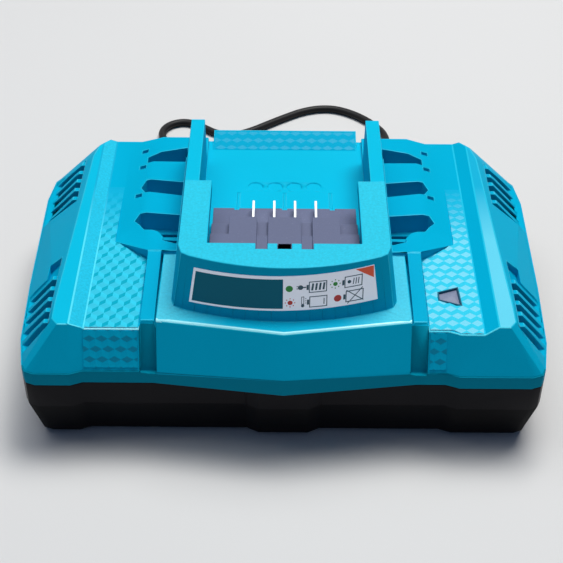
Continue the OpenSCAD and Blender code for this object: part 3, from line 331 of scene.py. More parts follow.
teal_satin = satin_teal("teal_satin", TEAL, roughness=0.5, specular=0.02)
# painted light: a paler teal for level tops where the light falls, the arms behind their grain, the cradle
# floor and the left ridge top
teal_lit_top = satin_teal("teal_lit_top", linear(0, 184, 217), roughness=0.45, specular=0.05)
# painted shade: a darker teal for the grooves beside the bulge and the upright band below the rim, where
# shade falls
teal_groove_shade = satin_teal("teal_groove_shade", linear(0, 132, 158), roughness=0.6, specular=0.02, mottle=0.1)
teal_well = satin_teal("teal_well", linear(0, 170, 204), roughness=0.6, specular=0.05, mottle=0.1)
# coarse grain with a painted paler sheen, on the left ridge's inner slope only
teal_grain_and_sheen = coarse_teal("teal_grain_and_sheen", linear(30, 191, 221), mottle=0.6, dust=0.004, specular=0.12,
                         depth=0.00004)
teal_grained = coarse_teal("teal_grained", linear(26, 192, 219), mottle=0.5, dust=0.01, specular=0.2,
                           depth=0.00004)
# painted highlight: a paler teal on the rounded edges high on the housing
teal_edge_highlight = moulded("teal_edge_highlight", linear(10, 190, 220), roughness=0.35, grain=2600, bump=0.3, mottle=0.08,
                    dust=0.0, specular=0.15)
# painted highlight: a near-white teal along the bulge's brow, the left panel's front edge and the reliefs'
# front skirts
teal_glint = moulded("teal_glint", linear(150, 240, 250), roughness=0.25, grain=2600, bump=0.2,
                     mottle=0.05, dust=0.0, specular=0.6)
black_case = moulded("black_case", linear(10, 9, 14), roughness=0.45, grain=2600, bump=0.5, mottle=0.15,
                     dust=0.02, specular=0.1)
# painted shade: near black for the base's lower taper and the block's slot pocket, where shade falls
black_shade = moulded("black_shade", linear(2, 2, 4), grain=2600, bump=0.5, mottle=0.15, dust=0.02,
                     specular=0.08)
block_grey = moulded("block_grey", linear(98, 104, 131), roughness=0.55, grain=1800, bump=0.7,
                     mottle=0.16, dust=0.06, specular=0.2)
foot_rubber = moulded("foot_rubber", linear(24, 24, 25), roughness=0.8, grain=1200, bump=0.6, mottle=0.2,
                      dust=0.2)
lead_rubber = moulded("lead_rubber", linear(10, 10, 13), roughness=0.42, grain=2200, bump=0.4,
                      mottle=0.12, dust=0.03, specular=0.2)
bright_blade = moulded("bright_blade", linear(246, 248, 250), roughness=0.42, grain=4000, bump=0.05,
                       mottle=0.02, dust=0.0, metallic=1.0)
brass_blade = moulded("brass_blade", linear(222, 200, 140), roughness=0.25, grain=4000, bump=0.15,
                      mottle=0.05, dust=0.03, metallic=1.0)
zinc_steel = moulded("zinc_steel", linear(176, 178, 180), roughness=0.35, bump=0.3, mottle=0.1, dust=0.03,
                     metallic=1.0)
sink_aluminium = moulded("sink_aluminium", linear(196, 198, 202), roughness=0.38, grain=1500, bump=0.3,
                         mottle=0.08, metallic=1.0)
board_green = moulded("board_green", linear(22, 96, 48), roughness=0.35, grain=900, bump=0.2, mottle=0.2,
                      dust=0.15, coat=0.3)
epoxy_black = moulded("epoxy_black", linear(30, 30, 32), grain=2500, bump=0.4, mottle=0.12, dust=0.1)
dipped_blue = moulded("dipped_blue", linear(36, 96, 186), roughness=0.3, grain=900, bump=0.2, mottle=0.1,
                      coat=0.4)
tape_yellow = moulded("tape_yellow", linear(228, 186, 42), roughness=0.4, grain=1200, bump=0.3,
                      mottle=0.1)
sleeve_navy = moulded("sleeve_navy", linear(32, 40, 84), roughness=0.3, grain=900, bump=0.2, mottle=0.08,
                      coat=0.3)
ferrite_dark = moulded("ferrite_dark", linear(62, 62, 66), roughness=0.6, grain=1500, bump=0.6,
                       mottle=0.2, dust=0.1)
magnet_wire = moulded("magnet_wire", linear(176, 98, 42), roughness=0.3, grain=700, bump=0.6, mottle=0.25,
                      dust=0.02, coat=0.4)
ceramic_tube = moulded("ceramic_tube", linear(226, 224, 214), roughness=0.35, grain=1500, bump=0.2)
label_pale = moulded("label_pale", linear(238, 244, 255), roughness=0.35, grain=1500, bump=0.1,
                     mottle=0.03, dust=0.01, metallic=0.5)
label_green = moulded("label_green", linear(20, 112, 132), roughness=0.45, grain=1500, bump=0.1,
                      mottle=0.05, dust=0.003, specular=0.06)
label_ink = printed_ink("label_ink", linear(38, 84, 100))
label_orange = printed_ink("label_orange", linear(255, 92, 48))
sign_green = printed_ink("sign_green", linear(22, 150, 52))
sign_red = printed_ink("sign_red", linear(206, 48, 44))
window_rim = moulded("window_rim", linear(6, 92, 116), roughness=0.35, grain=2500, bump=0.2, mottle=0.08,
                     dust=0.0, specular=0.2)
smoky_lens = moulded("smoky_lens", linear(124, 132, 156), roughness=0.25, grain=900, bump=0.3, mottle=0.3,
                     dust=0.0, coat=0.3)
clear_lens = clear_material("clear_lens", linear(225, 236, 240), roughness=0.12)
led_bulb = clear_material("led_bulb", linear(236, 200, 200), roughness=0.2)
# painted light on the panel reliefs: a paler ground, darker facets facing left on the left panel, paler
# facets facing the front on the right
relief_ground_sheen = relief_material("relief_ground_sheen", linear(52, 200, 226), roughness=0.45, specular=0.06)
relief_shade = relief_material("relief_shade", linear(0, 168, 192), roughness=0.45, specular=0.06)
relief_highlight = relief_material("relief_highlight", linear(112, 214, 236), roughness=0.4, specular=0.1)
front_ground = relief_material("front_ground", TEAL, roughness=0.45, specular=0.04)
# painted shade on the relief facets that face the front, on the front faces and the ramp
front_lozenge_shade = relief_material("front_lozenge_shade", linear(0, 152, 186), roughness=0.35, specular=0.08)
# painted highlight: pale lines along the left ridge's edges and the right panel's front edge, fading towards
# the back
rim_highlight = relief_material("rim_highlight", linear(84, 220, 240), roughness=0.4, specular=0.1)
# painted sheen: a pale teal on the right ridge top
ridge_sheen = relief_material("ridge_sheen", linear(96, 206, 230), roughness=0.4, specular=0.1)
# painted sheen on the top of the bulge, paler towards the sides
bulge_sheen = sheen_material("bulge_sheen", middle=linear(0, 186, 222), ends=linear(72, 202, 226))

NODE_FINISH = [
    (zinc_steel, ["housing_screws", "terminal_block_screws", "board_screws", "heatsink_screws",
                  "current_shunt", "cord_clamp_screws"]),
    (epoxy_black, ["bridge_rectifier", "switching_transistor", "transformer_bobbin", "optocoupler",
                   "controller_chip", "output_diode"]),
    (lead_rubber, ["contact_leads", "mains_lead_tail", "plug_body"]),
    (dipped_blue, ["varistor", "safety_capacitor", "mains_conductors"]),
    (ferrite_dark, ["filter_choke_core", "transformer_core", "output_choke_core"]),
    (tape_yellow, ["filter_capacitor", "transformer_windings"]),
    (magnet_wire, ["filter_choke_windings", "output_choke_winding"]),
    (sleeve_navy, ["bulk_capacitor", "output_capacitors"]),
    (sink_aluminium, ["primary_heatsink", "secondary_heatsink"]),
    (black_case, ["cord_clamp", "cord_tie"]),
    (foot_rubber, ["rubber_feet"]), (block_grey, ["terminal_block"]), (clear_lens, ["led_light_guide"]),
    (led_bulb, ["status_leds"]), (board_green, ["circuit_board"]), (ceramic_tube, ["input_fuse"]),
    (brass_blade, ["plug_pins"]),
]


def dress(name, material):
    obj = bpy.data.objects[name]
    obj.data.materials.clear()
    obj.data.materials.append(material)


for node_finish, node_names in NODE_FINISH:
    for node_name in node_names:
        dress(node_name, node_finish)

# -------------------- mesh helpers


def node_box(node):
    """Lowest and highest corner of a CAD node, in millimetres."""
    low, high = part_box(node)
    return low / MM, high / MM


def add_piece(mesh, name, finishes):
    """A finished mesh becomes a piece that rides on the charger."""
    obj = bpy.data.objects.new(name, mesh)
    scene.collection.objects.link(obj)
    for finish in finishes:
        mesh.materials.append(finish)
    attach(obj, "root")
    return obj


def keep(bm, name, finishes, smooth=30.0):
    """Weld a bmesh, smooth it up to an angle in degrees and add it as a piece."""
    bmesh.ops.remove_doubles(bm, verts=bm.verts, dist=1e-6)
    bmesh.ops.recalc_face_normals(bm, faces=bm.faces)
    mesh = bpy.data.meshes.new(name)
    bm.to_mesh(mesh)
    bm.free()
    for poly in mesh.polygons:
        poly.use_smooth = True
    mesh.set_sharp_from_angle(angle=math.radians(smooth))
    return add_piece(mesh, name, finishes)


def place_in_metres(bm, matrix):
    """Put a bmesh that is drawn in millimetres in its place."""
    bmesh.ops.transform(bm, matrix=matrix, verts=bm.verts)
    bmesh.ops.scale(bm, vec=(MM, MM, MM), verts=bm.verts)


def slice_mesh(bm, point, normal, reach, clear_outer=False):
    """Cut all faces along a plane. Points within reach of it count as lying on it."""
    bmesh.ops.bisect_plane(bm, geom=bm.verts[:] + bm.edges[:] + bm.faces[:], dist=reach, plane_co=point,
                           plane_no=normal, clear_outer=clear_outer)


def slice_across(bm, place, axis):
    """Cut all faces along the plane that stands at one place on an axis."""
    point = tuple(place * MM if i == axis else 0.0 for i in range(3))
    normal = tuple(1.0 if i == axis else 0.0 for i in range(3))
    slice_mesh(bm, point, normal, 1e-7)


def round_edges(bm, edges, width, segments):
    """Round edges off and return the new faces."""
    rounded = bmesh.ops.bevel(bm, geom=edges, offset=width * MM, offset_type="OFFSET", affect="EDGES",
                              segments=segments, profile=0.5, material=-1, clamp_overlap=False,
                              loop_slide=True)
    return rounded["faces"]


def extruded_points(bm, faces):
    """Extrude faces and return the new points."""
    grown = bmesh.ops.extrude_face_region(bm, geom=faces)
    return [item for item in grown["geom"] if isinstance(item, bmesh.types.BMVert)]


def join_bmesh(target, extra):
    mesh = bpy.data.meshes.new("joined")
    extra.to_mesh(mesh)
    extra.free()
    target.from_mesh(mesh)
    bpy.data.meshes.remove(mesh)


# -------------------- housings

EDGE_ANGLE = math.radians(25.0)  # edges sharper than this are rounded
SMOOTH_ANGLE = math.radians(32.0)
EDGE_SEGMENTS = 2
BROW_WIDTH, BROW_SEGMENTS, BROW_ANGLE = 0.8, 4, 0.3


def solid_copy(node):
    """Merged copy of a node's mesh."""
    bm = bmesh.new()
    bm.from_mesh(bpy.data.objects[node].data)
    bmesh.ops.remove_doubles(bm, verts=bm.verts, dist=2e-6)
    return bm


def is_sharp(edge, shortest):
    if len(edge.link_faces) != 2 or edge.calc_length() < shortest * MM:
        return False
    return abs(edge.calc_face_angle(0.0)) >= EDGE_ANGLE


def rounded_copy(node, name, finishes, width, shortest=0.8, skip=None, paint=None, broad=None,
                 carve=None):
    """A node's shape with its outer edges rounded as the mould leaves them.

    carve(bm) cuts the shape first, broad(edge) picks edges to round more, skip(edge) edges to leave plain,
    and paint(face, rim, brow) gives a face's place in the list of finishes.
    """
    bm = solid_copy(node)
    if carve:
        carve(bm)
    broad_rim = bm.faces.layers.int.new("broad_rim")
    if broad:
        wide = [e for e in bm.edges
                if len(e.link_faces) == 2 and broad(e) and e.calc_face_angle(0.0) > BROW_ANGLE]
        for face in round_edges(bm, wide, BROW_WIDTH, BROW_SEGMENTS):
            face[broad_rim] = 1
    sharp = [e for e in bm.edges
             if is_sharp(e, shortest) and not any(face[broad_rim] for face in e.link_faces)]
    if skip:
        sharp = [e for e in sharp if not skip(e)]
    rims = set(round_edges(bm, sharp, width, EDGE_SEGMENTS))
    mesh = bpy.data.meshes.new(name)
    bm.normal_update()
    for face in bm.faces:
        face.smooth = True
        if paint:
            face.material_index = paint(face, face in rims, face[broad_rim] == 1)
    bm.faces.layers.int.remove(broad_rim)
    bm.to_mesh(mesh)
    bm.free()
    mesh.set_sharp_from_angle(angle=SMOOTH_ANGLE)
    obj = add_piece(mesh, name, finishes)
    flats = obj.modifiers.new("flat_faces", "WEIGHTED_NORMAL")
    flats.keep_sharp = True
    flats.weight = 80
    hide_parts(node)


# places on the charger in millimetres, from the middle
HOUSING_LOW, HOUSING_HIGH = node_box("top_housing")
BLOCK_LOW, BLOCK_HIGH = node_box("terminal_block")
NOSE = 4.0  # from the front corner line to the point of the bulge
FRONT_Y, BACK_Y = HOUSING_LOW.y + NOSE, HOUSING_HIGH.y
FLOOR_Z, CRADLE_Z = BLOCK_LOW.z, HOUSING_HIGH.z
PANEL_Z, RIDGE_Z, RIM_Z = 46.2, 48.6, 33.2
BULGE_Z, BAND_Z = 49.0, 18.2
BROW_Y, BROW_SLOPE = -55.0, 0.15
GROOVE_IN, GROOVE_OUT = 41.7, 47.3
RIDGE_FOOT, RIDGE_IN, RIDGE_OUT = 65.4, 70.0, 75.7
FLOOR_HALF, BLOCK_BACK_Y, BULGE_TOP_Y = 30.0, -5.0, -18.0
ARM_END_Y, SLOT_END_Y, SLOT_HALF = 0.5, -25.6, 2.15
POCKET_DEPTH, BLOCK_TOP_Z = 5.0, BLOCK_HIGH.z - 2.0  # the block's level faces above this are its top
DISH_HALF, DISH_Y, DISH_REACH = 15.0, 25.0, 4.0
DECK_Z = 43.0  # the wells' floors lie below this; rounded edges above it take the painted highlight
PANEL_FRONT_Y, GROOVE_FRONT_Y, RIM_FRONT_Y = -46.0, -48.0, -50.0
WELL_X, WELL_Y, WELL_Z = (36.8, 55.5), (-13.0, 48.0), (40.0, 50.0)
LEVEL = 0.9  # upward part of a level face's normal

HOUSING_FINISHES = [teal_satin, teal_grained, teal_edge_highlight, teal_well, teal_grain_and_sheen, teal_glint, teal_groove_shade,
                    teal_lit_top, rim_highlight, ridge_sheen, bulge_sheen]
SATIN, GRAINED, EDGE_HIGHLIGHT, WELL, SLOPE_SHEEN, GLINT, GROOVE_SHADE, LIT_TOP, LINE_HIGHLIGHT, RIDGE_SHEEN, SHEEN = range(11)


def between(value, limits):
    return limits[0] < value < limits[1]


def in_groove(centre):
    """The grooves that run down the front on both sides of the bulge, where shade is painted."""
    return (between(abs(centre.x), (GROOVE_IN - 0.1, GROOVE_OUT + 0.1)) and centre.y < GROOVE_FRONT_Y
            and between(centre.z, (RIM_Z - 2, PANEL_Z - 0.3)))


def in_well(centre):
    """The air inlets beside the cradle."""
    return between(abs(centre.x), WELL_X) and between(centre.y, WELL_Y) and between(centre.z, WELL_Z)


def edge_finish(centre):
    """Finish of a rounded edge: painted highlights in front, along the left ridge and on the upper edges,
    painted shade in the grooves.
    """
    across = abs(centre.x)
    if centre.z > PANEL_Z - 0.6:
        # painted highlight lines along both edges of the left ridge's slope
        if centre.x < 0 and min(abs(across - RIDGE_FOOT), abs(across - RIDGE_IN)) < 0.5:
            return LINE_HIGHLIGHT
        # painted highlights along the panels' front edges: a bright glint on the left, a paler line on the
        # right
        if GROOVE_OUT < across < RIDGE_OUT - 2 and centre.y < PANEL_FRONT_Y:
            return GLINT if -RIDGE_FOOT < centre.x < 0 else LINE_HIGHLIGHT
    # painted shade on the edges in the grooves and along the front rim
    if in_groove(centre) or (centre.y < RIM_FRONT_Y and centre.z < RIM_Z + 1):
        return GROOVE_SHADE
    # painted highlight on the rounded edges above the wells' floors
    return EDGE_HIGHLIGHT if centre.z > DECK_Z else SATIN


def flat_finish(centre, rise):
    """Finish of a face between the rounded edges. rise is the upward part of its normal."""
    across = abs(centre.x)
    # painted shade in the grooves
    if in_groove(centre):
        return GROOVE_SHADE
    if in_well(centre) and (abs(rise) < 0.3 or centre.z < DECK_Z):
        return WELL
    # the arms' grain in front, painted light on their tops behind it
    if centre.z > CRADLE_Z - 0.1:
        return GRAINED if centre.y < ARM_END_Y else LIT_TOP
    # painted light on the level cradle floor
    if rise > LEVEL and across < FLOOR_HALF and abs(centre.z - FLOOR_Z) < 0.7 and centre.y > BLOCK_BACK_Y:
        return LIT_TOP
    # painted sheen on the top of the bulge
    if rise > LEVEL and abs(centre.z - BULGE_Z) < 0.1 and centre.y < BULGE_TOP_Y:
        return SHEEN
    # painted shade on the upright band below the rim
    if centre.z < RIM_Z - 0.3 and abs(rise) < 0.6:
        return GROOVE_SHADE
    # painted light on the ridge tops: paler teal on the left, a pale sheen on the right
    if abs(centre.z - RIDGE_Z) < 0.1 and across > RIDGE_IN:
        return LIT_TOP if centre.x < 0 else RIDGE_SHEEN
    # coarse grain and painted sheen on the left ridge's inner slope; the right one stays satin
    on_left_slope = -RIDGE_IN < centre.x < -RIDGE_FOOT and PANEL_Z < centre.z < RIDGE_Z
    return SLOPE_SHEEN if on_left_slope and 0.8 < rise < 0.95 else SATIN


def housing_finish(face, rim, brow):
    """Finish of one face of the upper housing, by where it lies and which way it faces."""
    centre = face.calc_center_median() / MM
    # painted highlight along the top of the bulge's rounded brow
    if brow:
        return GLINT if centre.z > BULGE_Z - 0.35 else EDGE_HIGHLIGHT
    return edge_finish(centre) if rim else flat_finish(centre, face.normal.z)


def in_floor_dish(edge):
    """The shallow dishes in the cradle floor keep their plain edge."""
    middle = (edge.verts[0].co + edge.verts[1].co) / 2 / MM
    return (abs(middle.z - FLOOR_Z) < 0.6 and abs(middle.x) < DISH_HALF
            and abs(middle.y - DISH_Y) < DISH_REACH)


def on_bulge_brow(edge):
    """The two top edges of the pointed bulge are rounded more than the rest."""
    return all(abs(v.co.z / MM - BULGE_Z) < 0.05 and v.co.y / MM < BROW_Y + BROW_SLOPE * abs(v.co.x / MM)
               for v in edge.verts)


def part_arm_tops(bm):
    """Cut the top faces across where the grained arms and bar end."""
    slice_across(bm, ARM_END_Y, 1)


def base_finish(face, rim, brow):
    # painted shade on the base below its band
    return 1 if face.calc_center_median().z / MM < BAND_Z else 0


def in_slot(face):
    centre = face.calc_center_median() / MM
    return abs(centre.x) < SLOT_HALF + 0.01 and centre.y < SLOT_END_Y + 0.01


def block_finish(face, rim, brow):
    # painted shade inside the pocket behind the bar's slot
    return 1 if in_slot(face) else 0


def sink_slot(bm):
    """Deep narrow pocket at the block's front edge, behind the slot of the bar."""
    slice_across(bm, SLOT_END_Y, 1)
    for x in (-SLOT_HALF, SLOT_HALF):
        slice_across(bm, x, 0)
    mouth = [f for f in bm.faces
             if f.normal.z > LEVEL and in_slot(f) and f.calc_center_median().z / MM > BLOCK_TOP_Z]
    bmesh.ops.inset_individual(bm, faces=mouth, thickness=0.0, depth=-POCKET_DEPTH * MM)


rounded_copy("top_housing", "upper_case", HOUSING_FINISHES, 0.3, skip=in_floor_dish,
             paint=housing_finish, broad=on_bulge_brow, carve=part_arm_tops)
rounded_copy("base_housing", "lower_case", [black_case, black_shade], 0.35,
             paint=base_finish)
rounded_copy("terminal_block", "terminal_carrier", [block_grey, black_shade], 0.2,
             shortest=0.6, paint=block_finish, carve=sink_slot)
for blade in ("contact_positive", "contact_sense", "contact_signal", "contact_negative"):
    rounded_copy(blade, blade + "_blade", [bright_blade], 0.15, shortest=0.3)

# -------------------- relief of stacked lozenges

LATTICE = 2.367  # side of the small triangles
TOP_RISE, FRONT_RISE, RAMP_RISE = 0.32, 0.16, 0.035  # step between the three levels
RELIEF_LIFT, SKIRT_DEPTH = 0.03, 0.08  # the sheet stands proud of its face, its skirt ends in it


def box_outline(x0, x1, y0, y1):
    return [(x0, y0), (x1, y0), (x1, y1), (x0, y1)]


def outline_sides(outline):
    """First corner and outward direction of each side of an anticlockwise outline."""
    return [(Vector((a[0], a[1], 0)), Vector((b[1] - a[1], a[0] - b[0], 0)).normalized())
            for a, b in zip(outline, outline[1:] + outline[:1])]


def trim(bm, outline):
    """Keep what lies inside a convex outline."""
    for corner, outwards in outline_sides(outline):
        slice_mesh(bm, corner, outwards, 1e-5, clear_outer=True)


def open_hole(bm, outline):
    """Take away what lies inside a convex outline."""
    for corner, outwards in outline_sides(outline):
        slice_mesh(bm, corner, outwards, 1e-5)
    inside = [f for f in bm.faces if all((f.calc_center_median() - corner).dot(outwards) < 0
                                         for corner, outwards in outline_sides(outline))]
    bmesh.ops.delete(bm, geom=inside, context="FACES")


def lattice_sheet(outline, rise=TOP_RISE, fade=None):
    """Flat outline in millimetres, filled with a three-level triangular relief."""
    xs = [p[0] for p in outline]
    ys = [p[1] for p in outline]
    reach = int(max(max(xs) - min(xs), max(ys) - min(ys)) / LATTICE) + 6
    bm = bmesh.new()
    bmesh.ops.create_grid(bm, x_segments=2 * reach, y_segments=2 * reach, size=reach)
    along = Vector((LATTICE * math.cos(math.radians(30)), LATTICE * math.sin(math.radians(30)), 0))
    across = Vector((0, LATTICE, 0))
    corner = Vector((round(min(xs) / (LATTICE * math.sqrt(3))) * LATTICE * math.sqrt(3),
                     round(min(ys) / (LATTICE * 3)) * LATTICE * 3, 0))
    for vert in bm.verts:
        i, j = round(vert.co.x), round(vert.co.y)
        place = corner + along * i + across * j
        vert.co = (place.x, place.y, rise * ((i - j) % 3))
    bmesh.ops.triangulate(bm, faces=bm.faces[:], quad_method="SHORT_EDGE")
    trim(bm, outline)
    if fade:
        for vert in bm.verts:
            vert.co.z *= fade(vert.co)
    return bm


def faces_front(face):
    return face.normal.y < -abs(face.normal.x)


def faces_left(face):
    return face.normal.x < -abs(face.normal.y)


def lay_relief(bm, name, place, finishes, painted_facets=faces_front, hole=None, front_end=None):
    """Stand a relief on its face, with its edges carried down into it.

    Facets picked by the facet test take the second finish, a painted shade or highlight by the way they face,
    and the skirt in front of front_end the third, a painted highlight on the panels.
    """
    bmesh.ops.remove_doubles(bm, verts=bm.verts, dist=0.01)
    if hole:
        open_hole(bm, hole)
    bm.normal_update()
    for face in bm.faces:
        # painted shade or highlight on the facets that face one way
        face.material_index = 1 if face.normal.z < 0.9999 and painted_facets(face) else 0
    border = [e for e in bm.edges if len(e.link_faces) == 1]
    for item in bmesh.ops.extrude_edge_only(bm, edges=border)["geom"]:
        if isinstance(item, bmesh.types.BMVert):
            item.co.z = -SKIRT_DEPTH
        elif isinstance(item, bmesh.types.BMFace) and front_end is not None:
            if all(v.co.y < front_end for v in item.verts):
                item.material_index = 2
    place_in_metres(bm, place @ Matrix.Translation((0, 0, RELIEF_LIFT)))
    keep(bm, name, finishes, smooth=3.0)


# the top panels, from the front corner line back
SLOPE_FOOT = 59.5
FIELD_IN, FIELD_OUT, STRIP_IN = GROOVE_OUT + 0.4, RIDGE_FOOT - 0.3, SLOPE_FOOT + 0.2
FIELD_START, FIELD_NARROWS, STRIP_START, STRIP_END, STRIP_FADE = 8.6, 43.2, 53.4, 86.0, 26.0
FIELD = [(FIELD_IN, FIELD_START), (FIELD_OUT, FIELD_START), (FIELD_OUT, STRIP_START),
         (STRIP_IN, STRIP_START), (FIELD_IN, FIELD_NARROWS)]
STRIP = box_outline(STRIP_IN, FIELD_OUT, STRIP_START, STRIP_END)
# the right field reaches further forward, to the right of the short recess in front
TONGUE = [(55.2, FIELD_START), (58.2, 7.0), (FIELD_OUT, 7.0), (FIELD_OUT, FIELD_START)]
PANEL_PLACE = Matrix.Translation((0, FRONT_Y, PANEL_Z))
WINDOW_SPOT = Vector((55.5, 24.8))
WINDOW = [(-3.4, -1.6), (3.4, -4.1), (2.9, 4.3), (-3.4, 1.9)]
WINDOW_GAP = 1.08  # share of its outline that the relief keeps clear


def window_outline(k):
    """The indicator window's corners on the panel, scaled about its middle."""
    return [(WINDOW_SPOT.x + x * k, WINDOW_SPOT.y + y * k) for x, y in WINDOW]


def mirrored(outline):
    return [(-x, y) for x, y in reversed(outline)]


def strip_fade(place):
    """The strip's relief sinks into the panel towards the back."""
    return min(1.0, max(0.0, (STRIP_END - place.y) / STRIP_FADE))


def left_panel_relief():
    bm = lattice_sheet(mirrored(FIELD))
    join_bmesh(bm, lattice_sheet(mirrored(STRIP), fade=strip_fade))
    lay_relief(bm, "left_panel_relief", PANEL_PLACE, [relief_ground_sheen, relief_shade, teal_glint],
               painted_facets=faces_left, front_end=FIELD_START + 0.1)


def right_panel_relief():
    bm = lattice_sheet(FIELD)
    join_bmesh(bm, lattice_sheet(STRIP, fade=strip_fade))
    join_bmesh(bm, lattice_sheet(TONGUE))
    lay_relief(bm, "right_panel_relief", PANEL_PLACE, [relief_ground_sheen, relief_highlight, teal_glint],
               hole=window_outline(WINDOW_GAP), front_end=FIELD_START + 0.1)


def leaning_place(origin, lean):
    """Frame on a face that leans back by an angle: X, then up the face, then out of it."""
    up = Vector((0, math.sin(lean), math.cos(lean)))
    out = Vector((0, -math.cos(lean), math.sin(lean)))
    return Matrix(((1, up.x, out.x, origin[0]), (0, up.y, out.y, origin[1]), (0, up.z, out.z, origin[2]),
                   (0, 0, 0, 1)))


# the front faces' distance behind the front corner line, at the rim and at the ridges' height
FRONT_FOOT, FRONT_TOP = 0.25, 7.7
FRONT_LEAN = math.atan((FRONT_TOP - FRONT_FOOT) / (RIDGE_Z - RIM_Z))
FRONT_RECESS = 1.6 * math.cos(FRONT_LEAN)
FRONT_FIELD = (2.0, 14.6)  # up the front face, from the rim
RAMP_HALF, RAMP_FIELD = 26.9, (0.5, 8.8)
RAMP_FOOT, RAMP_LEAN = 107.5, math.atan2(9.0, 3.0)


def front_relief(name, x0, x1):
    origin = (0, FRONT_Y + FRONT_FOOT + FRONT_RECESS * math.cos(FRONT_LEAN),
              RIM_Z - FRONT_RECESS * math.sin(FRONT_LEAN))
    bm = lattice_sheet(box_outline(x0, x1, *FRONT_FIELD), FRONT_RISE)
    # the facets that face the front take the painted shade
    lay_relief(bm, name, leaning_place(origin, FRONT_LEAN), [front_ground, front_lozenge_shade])


def ramp_relief():
    """Faint relief on the ramp behind the cradle floor."""
    bm = lattice_sheet(box_outline(-RAMP_HALF, RAMP_HALF, *RAMP_FIELD), RAMP_RISE)
    # the facets that face the front take the painted shade
    lay_relief(bm, "ramp_relief", leaning_place((0, FRONT_Y + RAMP_FOOT, FLOOR_Z), RAMP_LEAN),
               [teal_satin, front_lozenge_shade])


left_panel_relief()
right_panel_relief()
front_relief("left_front_relief", -RIDGE_FOOT - 0.2, -GROOVE_OUT - 0.6)
front_relief("right_front_relief", GROOVE_OUT + 0.6, 53.3)
ramp_relief()

# -------------------- indicator window

# heights over the panel
SURROUND_FOOT, SURROUND_TOP = -0.1, 0.7
LENS_FOOT, LENS_STEP, LENS_BROW, LENS_PEAK = -3.4, -2.45, -0.15, 0.25
# shares of the window's outline
SURROUND_OUT, LENS_WIDE, LENS_NECK = 1.15, 1.3, 0.96
SURROUND_ROUNDING = 0.12
LENS_PEAK_X, LENS_PEAK_Y = 1.3, 0.9  # from the window's middle


def window_ring(bm, k, z):
    return [bm.verts.new((x, y, z)) for x, y in window_outline(k)]


def ring_wall(bm, low, high):
    """Faces between two rings of four corners."""
    for i in range(4):
        j = (i + 1) % 4
        bm.faces.new((low[i], low[j], high[j], high[i]))


def make_window_surround():
    """Low frame round the window, with its upper edges rounded."""
    bm = bmesh.new()
    inner = window_ring(bm, 1.0, SURROUND_FOOT)
    outer = window_ring(bm, SURROUND_OUT, SURROUND_FOOT)
    ring_wall(bm, outer, inner)
    for vert in extruded_points(bm, bm.faces[:]):
        vert.co.z = SURROUND_TOP
    bmesh.ops.recalc_face_normals(bm, faces=bm.faces)
    corners = [e for e in bm.edges
               if all(v.co.z > SURROUND_TOP - 0.1 for v in e.verts) and e.calc_face_angle(0) > 0.5]
    bmesh.ops.bevel(bm, geom=corners, offset=SURROUND_ROUNDING, offset_type="OFFSET", affect="EDGES",
                    segments=2, profile=0.5, material=-1)
    place_in_metres(bm, PANEL_PLACE)
    keep(bm, "window_surround", [window_rim])


def make_window_lens():
    """Smoky lens with a low off-centre peak, on a wider foot under the housing."""
    bm = bmesh.new()
    foot = window_ring(bm, LENS_WIDE, LENS_FOOT)
    step = window_ring(bm, LENS_WIDE, LENS_STEP)
    neck = window_ring(bm, LENS_NECK, LENS_STEP)
    brow = window_ring(bm, LENS_NECK, LENS_BROW)
    peak = bm.verts.new((WINDOW_SPOT.x + LENS_PEAK_X, WINDOW_SPOT.y + LENS_PEAK_Y, LENS_PEAK))
    bm.faces.new(list(reversed(foot)))
    for low, high in ((foot, step), (step, neck), (neck, brow)):
        ring_wall(bm, low, high)
    for i in range(4):
        bm.faces.new((brow[i], brow[(i + 1) % 4], peak))
    place_in_metres(bm, PANEL_PLACE)
    lens = keep(bm, "window_lens", [smoky_lens], smooth=5.0)
    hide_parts("led_window")


make_window_surround()
make_window_lens()

# -------------------- printed label

LABEL_Z, LABEL_TALL, LABEL_TILT = 53.4, 12.7, 0.027
LABEL_FOOT, LABEL_TOP = 31.0, 29.0  # half widths
SHEET_LIFT, FIELD_LIFT, SIGN_LIFT, INK_LIFT = 0.27, 0.30, 0.31, 0.315
SHEET_DEPTH, PRINT_DEPTH = 0.25, 0.05
# the cradle's curved front: half width and place at its top, and what changes over its drop
WALL_HALF, WALL_SPREAD, WALL_START, WALL_LEAN, WALL_BOW, WALL_DROP = 30.8, 2.9, 12.4, 3.3, 6.0, 20.0


def on_cradle(x, up, lift):
    """Point on the curved front of the cradle, from the label's own flat measures."""
    z = LABEL_Z + up + LABEL_TILT * x
    down = (CRADLE_Z - z) / WALL_DROP
    half = WALL_HALF + WALL_SPREAD * down
    y = FRONT_Y + WALL_START - WALL_LEAN * down + WALL_BOW * (x / half) ** 2
    out = Vector((2 * WALL_BOW * x / half ** 2, -1.0,
                  (WALL_LEAN + 2 * WALL_BOW * WALL_SPREAD * x * x / half ** 3) / WALL_DROP)).normalized()
    return Vector((x, y, z)) + out * lift


def print_on_label(shapes, name, material, lift, depth=PRINT_DEPTH):
    """Convex flat shapes, wrapped round the cradle's front as one thin skin."""
    bm = bmesh.new()
    for outline in shapes:
        part = bmesh.new()
        part.faces.new([part.verts.new((x, y, 0)) for x, y in outline])
        xs = [p[0] for p in outline]
        for n in range(math.ceil(min(xs)), math.floor(max(xs)) + 1):
            slice_mesh(part, (n, 0, 0), (1, 0, 0), 1e-4)
        for vert in extruded_points(part, part.faces[:]):
            vert.co.z = 1.0
        join_bmesh(bm, part)
    for vert in bm.verts:
        vert.co = on_cradle(vert.co.x, vert.co.y, lift - depth * (1.0 - round(vert.co.z))) * MM
    return keep(bm, name, [material], smooth=20.0)


